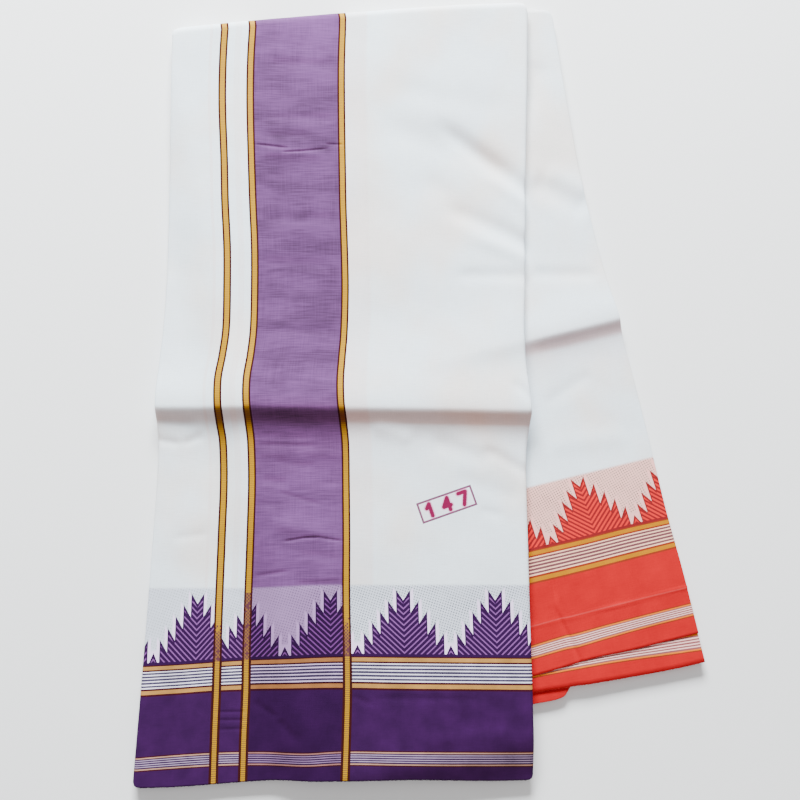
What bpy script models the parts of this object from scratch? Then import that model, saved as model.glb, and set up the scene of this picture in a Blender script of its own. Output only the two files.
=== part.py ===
"""A dhoti cloth, folded lengthwise into a flat pack, turned over once at the top and laid down.

The pack frame has X across the front flap from its middle line, Y up from the front flap's
selvedge to the fold, and Z up from the surface that the pack lies on. The back flap comes out
from under the front flap, turned about its own top right corner, and has a frame of its own:
"across" runs left from that corner and "down" runs along the flap to its selvedge.
"""
import math
from collections import namedtuple

import bmesh
import bpy

# Driving sizes, in metres.
PANEL_WIDTH = 0.318
WALL = 0.0012
GAP = 0.0003
BACK_PILE = 0.0057
FRONT_PILE = 0.0085

# Heights that follow from them.
SECOND_TOP = BACK_PILE + GAP + WALL
BACK_TOP = SECOND_TOP + GAP + WALL
FRONT_REST = BACK_TOP + GAP

# The middle of the pack's box, in the pack frame. It becomes the origin.
PACK_MIDDLE = (0.0732, 0.3367)

# The front flap's side edges, up from its selvedge.
FrontSection = namedtuple("FrontSection", "up left right")
FRONT_SECTIONS = [
    FrontSection(0.000, -0.1622, 0.1598),
    FrontSection(0.080, -0.1588, 0.1582),
    FrontSection(0.175, -0.1553, 0.1561),
    FrontSection(0.262, -0.1532, 0.1553),
    FrontSection(0.301, -0.1566, 0.1584),
    FrontSection(0.336, -0.1551, 0.1552),
    FrontSection(0.371, -0.1530, 0.1536),
    FrontSection(0.415, -0.1524, 0.1554),
    FrontSection(0.534, -0.1541, 0.1580),
    FrontSection(0.620, -0.1554, 0.1602),
    FrontSection(0.680, -0.1550, 0.1610),
]
LEFT_DIP = 0.0050
LEFT_DIP_START = -0.040
LEFT_DIP_RUN = 0.110
RIGHT_DIP = 0.0026
RIGHT_DIP_START = 0.045
RIGHT_DIP_RUN = 0.090
FRONT_CORNER = 0.005

# The line that the pack is turned over on, as the middle of its roll.
FOLD_START = (-0.153, 0.6270)
FOLD_SLOPE = 0.1391
FOLD_BOW = 0.003
FOLD_CORNER = 0.009
FOLD_CORNER_DROP = 0.004
ROLL_SWEEP = math.radians(165)
ROLL_STEPS = 8
ROLL_CLEAR = 0.001
ROLL_INNER_GAP = 4.0 * GAP

# The back flap's edges in its own frame, and the lines that its layers end on.
BACK_CORNER = (0.184, 0.668)
BACK_TURN = math.radians(12.5)
BackSection = namedtuple("BackSection", "down right left")
BACK_SECTIONS = [
    BackSection(-0.031, -0.0030, 0.3350),
    BackSection(0.000, -0.0018, 0.3250),
    BackSection(0.060, 0.0026, 0.3190),
    BackSection(0.110, 0.0060, 0.3180),
    BackSection(0.166, 0.0086, 0.3180),
    BackSection(0.255, 0.0082, 0.3180),
    BackSection(0.290, 0.0064, 0.3180),
    BackSection(0.370, 0.0050, 0.3180),
    BackSection(0.455, 0.0049, 0.3180),
    BackSection(0.520, 0.0032, 0.3180),
    BackSection(0.592, 0.0026, 0.3180),
]
BackEnd = namedtuple("BackEnd", "across fold sheet second layers")
BACK_ENDS = [
    BackEnd(0.000, -0.0098, 0.5660, 0.5904, 0.5880),
    BackEnd(0.030, -0.0106, 0.5664, 0.5900, 0.5874),
    BackEnd(0.060, -0.0125, 0.5668, 0.5886, 0.5858),
    BackEnd(0.100, -0.0170, 0.5662, 0.5862, 0.5836),
    BackEnd(0.117, -0.0188, 0.5674, 0.5846, 0.5846),
    BackEnd(0.127, -0.0196, 0.5680, 0.5840, 0.5925),
    BackEnd(0.155, -0.0220, 0.5694, 0.5820, 0.5928),
    BackEnd(0.183, -0.0240, 0.5700, 0.5815, 0.5920),
    BackEnd(0.335, -0.0325, 0.5700, 0.5800, 0.5890),
]
BACK_CORNER_ROUND = 0.008
SECOND_SET_IN = 0.0006

# Cross creases left by an older fold: a crest with a short steep side towards the selvedge.
FRONT_CREASE_UP = 0.2990
FRONT_CREASE_BOW = 0.0015
FRONT_CREASE_SLOPE = 0.014
FRONT_CREASE_RISE = 0.0110
FRONT_CREASE_STEEP = 0.014
FRONT_CREASE_EASY = 0.052
BACK_CREASE_DOWN = 0.2873
BACK_CREASE_SLOPE = 0.045
BACK_CREASE_RISE = 0.0070
BACK_CREASE_STEEP = 0.011
BACK_CREASE_EASY = 0.040
BACK_CREASE_END = 0.150
BACK_CREASE_FADE = 0.080
CREASE_SHARE_IN_FRONT = 0.6
CREASE_BRIDGE = 1.4

# The front flap bridges from the back flap down to the surface over this distance.
SAG_START = 0.020
SAG_RUN = 0.042

# The sides of a loose sheet turn down round the pile.
EDGE_TURN_WIDTH = 0.0035
EDGE_TURN_DROP = 0.0022

# Soft hollows and folds pressed into the front flap.
SoftFold = namedtuple("SoftFold", "x y turn length width rise")
SOFT_FOLDS = [
    SoftFold(0.100, 0.515, math.radians(-25), 0.070, 0.035, -0.0014),
    SoftFold(0.130, 0.462, math.radians(-18), 0.040, 0.014, 0.0012),
    SoftFold(0.060, 0.380, math.radians(12), 0.090, 0.028, -0.0010),
    SoftFold(-0.040, 0.200, math.radians(-8), 0.080, 0.030, 0.0009),
]

# The side of a pile of hidden layers: how far each level is set in, bottom to top.
Level = namedtuple("Level", "height set_in")
FRONT_LEVELS = [
    Level(0.00, 0.0020),
    Level(0.10, 0.0006),
    Level(0.26, 0.0004),
    Level(0.32, 0.0020),
    Level(0.38, 0.0005),
    Level(0.58, 0.0007),
    Level(0.66, 0.0028),
    Level(1.00, 0.0026),
]
BACK_LEVELS = [
    Level(0.00, 0.0026),
    Level(0.16, 0.0008),
    Level(0.38, 0.0005),
    Level(0.46, 0.0020),
    Level(0.54, 0.0006),
    Level(0.82, 0.0008),
    Level(1.00, 0.0020),
]

# Places of the rows near a flap's ends, and their spacing between: close at a crease, wide elsewhere.
FRONT_LOW_ROWS = [0.000, 0.0025, 0.008, 0.018, 0.029]
FRONT_TOP_ROWS = [0.603, 0.640]
BACK_TOP_ROWS = [0.000, 0.004, 0.010, 0.028]
BACK_LOW_ROWS = [0.530, 0.556, 0.576, 0.586, 0.590]
CLOSE_STEP = 0.0045
WIDE_STEP = 0.032
CREASE_REACH = 0.110
FRONT_COLUMN_STEPS = 14
BACK_COLUMN_STEPS = 10
FRONT_BLEND_START = 0.040
FRONT_BLEND_END = 0.570
BACK_BLEND_START = 0.060
BACK_BLEND_END = 0.500
EDGE_TURN_MIDDLE = 0.35
PILE_SPARE = 2.0 * GAP
SLOPE_STEP = 0.0005

WHITE_CLOTH = (0.74, 0.78, 0.80)
WHITE_FOLDS = (0.66, 0.68, 0.70)
ORANGE_CLOTH = (0.79, 0.09, 0.065)
ORANGE_FOLDS = (0.62, 0.07, 0.05)
CLOTH_ROUGHNESS = 0.85
SMOOTH_ANGLE = math.radians(40)


def ease(value):
    """Smooth step from 0 to 1."""
    value = min(max(value, 0.0), 1.0)
    return value * value * (3.0 - 2.0 * value)


def read_row(rows, at, column):
    """Value of a column at a place between rows, on a smooth curve through them."""
    keys = [row[0] for row in rows]
    values = [getattr(row, column) for row in rows]
    at = min(max(at, keys[0]), keys[-1])
    index = max(i for i in range(len(keys) - 1) if keys[i] <= at)
    span = keys[index + 1] - keys[index]
    share = (at - keys[index]) / span

    def slope(i):
        low, high = max(i - 1, 0), min(i + 1, len(keys) - 1)
        return (values[high] - values[low]) / (keys[high] - keys[low])

    rise = values[index + 1] - values[index]
    start, end = slope(index) * span, slope(index + 1) * span
    bend = (start + end - 2.0 * rise) * share + 3.0 * rise - 2.0 * start - end
    return values[index] + share * (start + share * bend)


def to_back(x, y):
    """Pack frame to the back flap's own frame, as across and down."""
    dx, dy = x - BACK_CORNER[0], y - BACK_CORNER[1]
    cos, sin = math.cos(BACK_TURN), math.sin(BACK_TURN)
    return -dx * cos - dy * sin, dx * sin - dy * cos


def from_back(across, down):
    """The back flap's own frame to the pack frame."""
    cos, sin = math.cos(BACK_TURN), math.sin(BACK_TURN)
    return BACK_CORNER[0] - across * cos + down * sin, BACK_CORNER[1] - across * sin - down * cos


def crest(distance, steep, easy):
    """Height share of a crease, at a distance past its crest (negative on its steep side)."""
    run = steep if distance < 0.0 else easy
    return (1.0 + (distance / run) ** 2) ** -1.5


def front_crease(x, y):
    line = FRONT_CREASE_UP + FRONT_CREASE_BOW * math.cos(x / PANEL_WIDTH * math.pi)
    line += FRONT_CREASE_SLOPE * max(x, 0.0)
    return FRONT_CREASE_RISE * crest(y - line, FRONT_CREASE_STEEP, FRONT_CREASE_EASY)


def back_crease_line(across):
    return BACK_CREASE_DOWN + BACK_CREASE_SLOPE * across


def back_crease(across, down, bridge=1.0):
    """Height of the back flap's crease, or of what bridges it over a wider run."""
    line = back_crease_line(across)
    fade = ease((BACK_CREASE_END * bridge - across) / (BACK_CREASE_FADE * bridge))
    return BACK_CREASE_RISE * fade * crest(
        line - down, BACK_CREASE_STEEP * bridge, BACK_CREASE_EASY * bridge)


def back_surface(across, down):
    """Top of the back flap's upper sheet."""
    return BACK_TOP + back_crease(across, down)


def fold_line(x):
    """Where the middle of the top roll lies, over x."""
    middle = (FRONT_SECTIONS[-1].left + FRONT_SECTIONS[-1].right) / 2.0
    half = (FRONT_SECTIONS[-1].right - FRONT_SECTIONS[-1].left) / 2.0
    bow = FOLD_BOW * (1.0 - ((x - middle) / half) ** 2)
    near_end = min(max(1.0 - (half - abs(x - middle)) / FOLD_CORNER, 0.0), 1.0)
    corner = FOLD_CORNER_DROP * (1.0 - math.sqrt(1.0 - near_end ** 2))
    return FOLD_START[1] + FOLD_SLOPE * (x - FOLD_START[0]) + bow - corner


def support(x, y):
    """1 where the front flap lies on the back flap, 0 where it lies on the surface."""
    across, down = to_back(x, y)
    side = read_row(BACK_SECTIONS, down, "left") + SAG_START
    end = read_row(BACK_ENDS, across, "layers") + SAG_START
    over_side = ease((side + SAG_RUN - across) / SAG_RUN)
    over_end = ease((end + SAG_RUN - down) / SAG_RUN)
    return over_side * over_end


def soft_folds(x, y):
    total = 0.0
    for fold in SOFT_FOLDS:
        cos, sin = math.cos(fold.turn), math.sin(fold.turn)
        along = (x - fold.x) * cos + (y - fold.y) * sin
        beside = (y - fold.y) * cos - (x - fold.x) * sin
        total += fold.rise * math.exp(-(along / fold.length) ** 2 - (beside / fold.width) ** 2)
    return total


def edge_turn(distance):
    """How far a loose sheet has turned down at a distance from its side edge."""
    share = min(max(1.0 - distance / EDGE_TURN_WIDTH, 0.0), 1.0)
    return EDGE_TURN_DROP * (1.0 - math.sqrt(1.0 - share ** 2))


def front_rest(x, y):
    """Underside of the front flap's pile."""
    return support(x, y) * (FRONT_REST + back_crease(*to_back(x, y), bridge=CREASE_BRIDGE))


def front_surface(x, y):
    """Top of the front flap's sheet."""
    left, right = front_sides(y)
    turned = edge_turn(min(x - left, right - x))
    flat = support(x, y) * FRONT_REST + FRONT_PILE - turned
    shared = CREASE_SHARE_IN_FRONT * back_crease(*to_back(x, y), bridge=CREASE_BRIDGE)
    return flat + front_crease(x, y) + shared + soft_folds(x, y)


def front_sides(y):
    return read_row(FRONT_SECTIONS, y, "left"), read_row(FRONT_SECTIONS, y, "right")


def front_selvedge(x):
    left = LEFT_DIP * ease((LEFT_DIP_START - x) / LEFT_DIP_RUN)
    return -left - RIGHT_DIP * ease((x - RIGHT_DIP_START) / RIGHT_DIP_RUN)


def beneath(surface, first, second, layers=1, spare=0.0):
    """Height under some layers of sheet, measured square to a sloping surface."""
    step = SLOPE_STEP
    slope_one = (surface(first + step, second) - surface(first - step, second)) / (2.0 * step)
    slope_two = (surface(first, second + step) - surface(first, second - step)) / (2.0 * step)
    depth = layers * (WALL + GAP) + spare
    return surface(first, second) - depth * math.sqrt(1.0 + slope_one ** 2 + slope_two ** 2)


def spread(start, end, crease):
    """Row places from start to end, close together at a crease."""
    places = [start]
    while places[-1] < end:
        away = min(abs(places[-1] - crease) / CREASE_REACH, 1.0)
        places.append(places[-1] + CLOSE_STEP + (WIDE_STEP - CLOSE_STEP) * away)
    stretch = (end - start) / (places[-1] - start)
    return [start + (place - start) * stretch for place in places]


def column_shares(steps):
    """Shares across a flap, with two more near each side for the turned edge."""
    turn = EDGE_TURN_WIDTH / PANEL_WIDTH
    edge = [0.0, EDGE_TURN_MIDDLE * turn, turn]
    inner = [edge[-1] + (1.0 - 2.0 * edge[-1]) * i / steps for i in range(1, steps)]
    return edge + inner + [1.0 - share for share in reversed(edge)]


def front_rows():
    """Heights up the front flap. The first and last stretch follow its end lines."""
    middle = spread(FRONT_BLEND_START, FRONT_BLEND_END, FRONT_CREASE_UP)
    return FRONT_LOW_ROWS + middle + FRONT_TOP_ROWS


def back_rows():
    """Distances down the back flap."""
    middle = spread(BACK_BLEND_START, BACK_BLEND_END, back_crease_line(BACK_CREASE_FADE))
    return BACK_TOP_ROWS + middle + BACK_LOW_ROWS


def rounded(side, end, radius):
    """Distances from two edges, moved so that the corner between them is round."""
    a, b = radius - side, radius - end
    if a <= 0.0 or b <= 0.0:
        return side, end
    pull = max(a, b) / math.hypot(a, b)
    return radius - a * pull, radius - b * pull


def stretched(row, first, last, blend_start, blend_end, length):
    """Place of a row, once the stretches before and after the blends follow the flap's end lines."""
    if row < blend_start:
        return first + (blend_start - first) * row / blend_start
    if row > blend_end:
        return blend_end + (last - blend_end) * (row - blend_end) / (length - blend_end)
    return row


def front_plan(share, row, set_in):
    """Plan place of a grid point of the front flap."""
    first, final = FRONT_SECTIONS[0], FRONT_SECTIONS[-1]
    low = front_selvedge(first.left + share * (first.right - first.left)) + set_in
    high = fold_line(final.left + share * (final.right - final.left)) - set_in
    y = stretched(row, low, high, FRONT_BLEND_START, FRONT_BLEND_END, FRONT_TOP_ROWS[-1])
    left, right = front_sides(y)
    width = right - left - 2.0 * set_in
    side, end = rounded(min(share, 1.0 - share) * width, y - low, FRONT_CORNER)
    x = left + set_in + side if share < 0.5 else right - set_in - side
    return x, low + end


def room_in_roll(height):
    """How far past the middle of the top roll a hidden layer may reach at a height."""
    radius = (BACK_TOP + FRONT_PILE + GAP) / 2.0
    inside = (radius - WALL - ROLL_INNER_GAP) ** 2 - (radius - height) ** 2
    return math.sqrt(inside) if inside > 0.0 else -ROLL_CLEAR


def back_plan(share, row, set_in, last, height=BACK_PILE):
    """Place of a grid point of the back flap, in its own frame. last names the end line."""
    guess = share * PANEL_WIDTH
    top = read_row(BACK_ENDS, guess, "fold") + set_in
    x, y = from_back(guess, top)
    top += max(y - fold_line(x) - room_in_roll(height), 0.0)
    low = read_row(BACK_ENDS, guess, last) - set_in
    down = stretched(row, top, low, BACK_BLEND_START, BACK_BLEND_END, BACK_LOW_ROWS[-1])
    right, left = read_row(BACK_SECTIONS, down, "right"), read_row(BACK_SECTIONS, down, "left")
    width = left - right - 2.0 * set_in
    side = min(share, 1.0 - share) * width
    side, from_top = rounded(side, down - top, BACK_CORNER_ROUND)
    across = right + set_in + side if share < 0.5 else left - set_in - side
    return across, top + from_top


def grid_mesh(columns, rows):
    """An open grid whose points carry their column and row number as X and Y."""
    mesh = bmesh.new()
    bmesh.ops.create_grid(mesh, x_segments=columns - 1, y_segments=rows - 1, size=0.5)
    for vert in mesh.verts:
        vert.co.x = round((vert.co.x + 0.5) * (columns - 1))
        vert.co.y = round((vert.co.y + 0.5) * (rows - 1))
    return mesh


def add_piece(name, mesh, colour):
    """Put a finished bmesh in the scene as one named piece, moved to the part's own origin."""
    for vert in mesh.verts:
        vert.co.x -= PACK_MIDDLE[0]
        vert.co.y -= PACK_MIDDLE[1]
    data = bpy.data.meshes.new(name)
    mesh.to_mesh(data)
    mesh.free()
    data.shade_smooth()
    data.set_sharp_from_angle(angle=SMOOTH_ANGLE)
    piece = bpy.data.objects.new(name, data)
    bpy.data.collections["dhoti_cloth"].objects.link(piece)
    material = bpy.data.materials.new(name + "_cloth")
    material.use_nodes = True
    shader = material.node_tree.nodes["Principled BSDF"]
    shader.inputs["Base Color"].default_value = (*colour, 1.0)
    shader.inputs["Roughness"].default_value = CLOTH_ROUGHNESS
    shader.inputs["Metallic"].default_value = 0.0
    data.materials.append(material)
    return piece


def thicken(piece):
    """Give an open sheet its wall, inwards from the surface that shows."""
    wall = piece.modifiers.new("wall", 'SOLIDIFY')
    wall.thickness = WALL
    wall.offset = -1.0
    wall.use_even_offset = True
    wall.use_rim = True


def build_sheet(name, columns, rows, place, colour):
    """A loose sheet of cloth through grid points, with a wall."""
    mesh = grid_mesh(len(columns), len(rows))
    for vert in mesh.verts:
        column, row = int(vert.co.x), int(vert.co.y)
        vert.co = place(columns[column], rows[row])
    bmesh.ops.recalc_face_normals(mesh, faces=mesh.faces)
    if sum(face.normal.z * face.calc_area() for face in mesh.faces) < 0.0:
        bmesh.ops.reverse_faces(mesh, faces=mesh.faces)
    piece = add_piece(name, mesh, colour)
    thicken(piece)
    return piece


def build_pile(name, columns, rows, levels, place, colour, flat_under):
    """Hidden layers as one rounded solid: a grid raised level by level, each set in its own way."""
    mesh = grid_mesh(len(columns), len(rows))
    level_of = {vert: 0 for vert in mesh.verts}
    under = mesh.faces[:]
    region = mesh.faces[:]
    for number in range(1, len(levels)):
        raised = bmesh.ops.extrude_face_region(mesh, geom=region)["geom"]
        if number > 1:
            bmesh.ops.delete(mesh, geom=region, context='FACES')
        region = [item for item in raised if isinstance(item, bmesh.types.BMFace)]
        level_of.update({item: number for item in raised if isinstance(item, bmesh.types.BMVert)})
    for vert in mesh.verts:
        column, row = int(vert.co.x), int(vert.co.y)
        vert.co = place(columns[column], rows[row], levels[level_of[vert]])
    if flat_under:
        bmesh.ops.dissolve_faces(mesh, faces=under)
    bmesh.ops.recalc_face_normals(mesh, faces=mesh.faces)
    return add_piece(name, mesh, colour)


def roll_radius(x):
    """The top roll stands on the surface and meets the front flap's top."""
    return front_surface(x, fold_line(x)) / 2.0


def front_sheet_place(share, row):
    """Front sheet: flat rows by height, then roll rows by angle."""
    kind, value = row
    if kind == "flat":
        x, y = front_plan(share, value, 0.0)
        return x, y, front_surface(x, y)
    x, y = front_plan(share, front_rows()[-1], 0.0)
    radius = roll_radius(x)
    away = radius * math.sin(value)
    along = math.hypot(1.0, FOLD_SLOPE)
    return x - away * FOLD_SLOPE / along, y + away / along, radius + radius * math.cos(value)


def build_front_sheet():
    """The sheet that shows: from the purple selvedge, over the top and round the fold."""
    rows = [("flat", row) for row in front_rows()]
    rows += [("roll", ROLL_SWEEP * step / ROLL_STEPS) for step in range(1, ROLL_STEPS + 1)]
    build_sheet("front_sheet", column_shares(FRONT_COLUMN_STEPS), rows, front_sheet_place, WHITE_CLOTH)


def front_pile_place(share, row, level):
    """Hidden front layers, between the back flap and the front sheet."""
    x, y = front_plan(share, row, level.set_in)
    low = front_rest(x, y)
    high = beneath(front_surface, x, y, spare=PILE_SPARE)
    return x, y, low + (high - low) * level.height


def build_front_layers():
    build_pile("front_layers", column_shares(FRONT_COLUMN_STEPS), front_rows(), FRONT_LEVELS,
               front_pile_place, WHITE_FOLDS, flat_under=False)


def back_sheet_place(share, row):
    across, down = back_plan(share, row, 0.0, "sheet")
    return (*from_back(across, down), back_surface(across, down))


def build_back_sheet():
    """The back flap's upper sheet, down to its orange selvedge."""
    build_sheet("back_sheet", column_shares(BACK_COLUMN_STEPS), back_rows(), back_sheet_place, WHITE_CLOTH)


def second_sheet_place(share, row):
    across, down = back_plan(share, row, SECOND_SET_IN, "second")
    return (*from_back(across, down), beneath(back_surface, across, down))


def build_back_second_sheet():
    """The sheet under it, which has slipped out beyond its selvedge."""
    build_sheet("back_second_sheet", column_shares(BACK_COLUMN_STEPS), back_rows(), second_sheet_place,
                ORANGE_CLOTH)


def back_pile_place(share, row, level):
    across, down = back_plan(share, row, level.set_in, "layers", level.height * BACK_PILE)
    high = beneath(back_surface, across, down, layers=2)
    return (*from_back(across, down), high * level.height)


def build_back_layers():
    """Hidden back layers. They lie flat on the surface and carry everything else."""
    build_pile("back_layers", column_shares(BACK_COLUMN_STEPS), back_rows(), BACK_LEVELS,
               back_pile_place, ORANGE_FOLDS, flat_under=True)


def main():
    for item in list(bpy.data.objects):
        bpy.data.objects.remove(item, do_unlink=True)
    pack = bpy.data.collections.new("dhoti_cloth")
    bpy.context.scene.collection.children.link(pack)
    build_back_layers()
    build_back_second_sheet()
    build_back_sheet()
    build_front_layers()
    build_front_sheet()


main()
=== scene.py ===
"""Looks of a folded dhoti cloth: patterned cotton sheets, layered folds, selvedges and a studio stage."""
import math
from collections import namedtuple

import bmesh
import bpy
import numpy as np
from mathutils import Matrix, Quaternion, Vector


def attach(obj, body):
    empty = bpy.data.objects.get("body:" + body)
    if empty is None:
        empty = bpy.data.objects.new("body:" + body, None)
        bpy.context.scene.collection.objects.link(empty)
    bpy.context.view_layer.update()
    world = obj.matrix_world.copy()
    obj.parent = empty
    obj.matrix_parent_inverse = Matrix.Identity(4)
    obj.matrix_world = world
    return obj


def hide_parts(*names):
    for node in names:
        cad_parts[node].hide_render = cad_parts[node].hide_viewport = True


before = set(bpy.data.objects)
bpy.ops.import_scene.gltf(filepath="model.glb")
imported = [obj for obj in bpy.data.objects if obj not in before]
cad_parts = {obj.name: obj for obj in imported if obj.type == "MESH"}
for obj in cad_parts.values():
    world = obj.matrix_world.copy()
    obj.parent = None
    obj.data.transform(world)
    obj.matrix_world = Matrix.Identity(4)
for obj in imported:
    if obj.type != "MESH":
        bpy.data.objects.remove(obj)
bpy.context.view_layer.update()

bl_info = {
    "name": "Folded dhoti cloth",
    "version": (1, 0, 0),
    "blender": (4, 5, 0),
    "location": "3D View > Sidebar > Dhoti",
    "description": "Builds the patterned sheets, fold layers and selvedges of a folded dhoti cloth",
    "category": "Object",
}

# Sizes of the pack, in metres. X runs across the front flap, Y up from its selvedge to the fold.
PANEL_WIDTH = 0.318
WALL = 0.0012
GAP = 0.0003
BACK_PILE = 0.0057
FRONT_PILE = 0.0085
BACK_TOP = BACK_PILE + 2.0 * (GAP + WALL)
FRONT_REST = BACK_TOP + GAP
PACK_MIDDLE = (0.0732, 0.3367)

FrontSection = namedtuple("FrontSection", "up left right")
FRONT_SECTIONS = [FrontSection(*row) for row in (
    (0.000, -0.1622, 0.1598),
    (0.080, -0.1588, 0.1582),
    (0.175, -0.1553, 0.1561),
    (0.262, -0.1532, 0.1553),
    (0.301, -0.1566, 0.1584),
    (0.336, -0.1551, 0.1552),
    (0.371, -0.1530, 0.1536),
    (0.415, -0.1524, 0.1554),
    (0.534, -0.1541, 0.1580),
    (0.620, -0.1554, 0.1602),
    (0.680, -0.1550, 0.1610),
)]
LEFT_DIP = 0.0050
LEFT_DIP_START = -0.040
LEFT_DIP_RUN = 0.110
RIGHT_DIP = 0.0026
RIGHT_DIP_START = 0.045
RIGHT_DIP_RUN = 0.090
FRONT_CORNER = 0.005

# The line that the pack is turned over on, as the middle of its roll.
FOLD_START = (-0.153, 0.6270)
FOLD_SLOPE = 0.1391
FOLD_BOW = 0.003
FOLD_CORNER = 0.009
FOLD_CORNER_DROP = 0.004
ROLL_SWEEP = math.radians(165)
ROLL_STEPS = 26
ROLL_CLEAR = 0.001
ROLL_INNER_GAP = 4.0 * GAP

# The back flap has a frame of its own: across runs left from its top right corner, down runs along it.
BACK_CORNER = (0.184, 0.668)
BACK_TURN = math.radians(12.5)
BackSection = namedtuple("BackSection", "down right left")
BACK_SECTIONS = [BackSection(*row) for row in (
    (-0.031, -0.0030, 0.3350),
    (0.000, -0.0018, 0.3250),
    (0.060, 0.0026, 0.3190),
    (0.110, 0.0060, 0.3180),
    (0.166, 0.0086, 0.3180),
    (0.255, 0.0082, 0.3180),
    (0.290, 0.0064, 0.3180),
    (0.370, 0.0050, 0.3180),
    (0.455, 0.0049, 0.3180),
    (0.520, 0.0032, 0.3180),
    (0.592, 0.0026, 0.3180),
)]
BackEnd = namedtuple("BackEnd", "across fold sheet second layers")
BACK_ENDS = [BackEnd(*row) for row in (
    (0.000, -0.0098, 0.5660, 0.5904, 0.5880),
    (0.030, -0.0106, 0.5664, 0.5900, 0.5874),
    (0.060, -0.0125, 0.5668, 0.5886, 0.5858),
    (0.100, -0.0170, 0.5662, 0.5862, 0.5836),
    (0.117, -0.0188, 0.5674, 0.5846, 0.5846),
    (0.127, -0.0196, 0.5680, 0.5840, 0.5925),
    (0.155, -0.0220, 0.5694, 0.5820, 0.5928),
    (0.183, -0.0240, 0.5700, 0.5815, 0.5920),
    (0.335, -0.0325, 0.5700, 0.5800, 0.5890),
)]
BACK_CORNER_ROUND = 0.008
SECOND_SET_IN = 0.0006

# Where the rows of a flap leave the line of its first end, reach that of its last, and end.
FRONT_BLENDS = (0.040, 0.570, 0.640)
BACK_BLENDS = (0.060, 0.500, 0.590)

# Cross creases left by an older fold: a crest with a short steep side towards the selvedge.
FRONT_CREASE_UP = 0.2990
FRONT_CREASE_BOW = 0.0015
FRONT_CREASE_SLOPE = 0.014
FRONT_CREASE_RISE = 0.0110
FRONT_CREASE_STEEP = 0.014
FRONT_CREASE_EASY = 0.052
BACK_CREASE_DOWN = 0.2873
BACK_CREASE_SLOPE = 0.045
BACK_CREASE_RISE = 0.0070
BACK_CREASE_STEEP = 0.011
BACK_CREASE_EASY = 0.040
BACK_CREASE_END = 0.150
BACK_CREASE_FADE = 0.080
CREASE_SHARE_IN_FRONT = 0.6
CREASE_BRIDGE = 1.4
SAG_START = 0.020
SAG_RUN = 0.042
EDGE_TURN_WIDTH = 0.0035
EDGE_TURN_DROP = 0.0022

# Soft hollows and folds pressed into the front flap.
SoftFold = namedtuple("SoftFold", "x y turn length width rise")
SOFT_FOLDS = [SoftFold(*row) for row in (
    (0.100, 0.515, math.radians(-25), 0.070, 0.035, -0.0014),
    (0.130, 0.462, math.radians(-18), 0.040, 0.014, 0.0012),
    (0.060, 0.380, math.radians(12), 0.090, 0.028, -0.0010),
    (-0.040, 0.200, math.radians(-8), 0.080, 0.030, 0.0009),
)]

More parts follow.
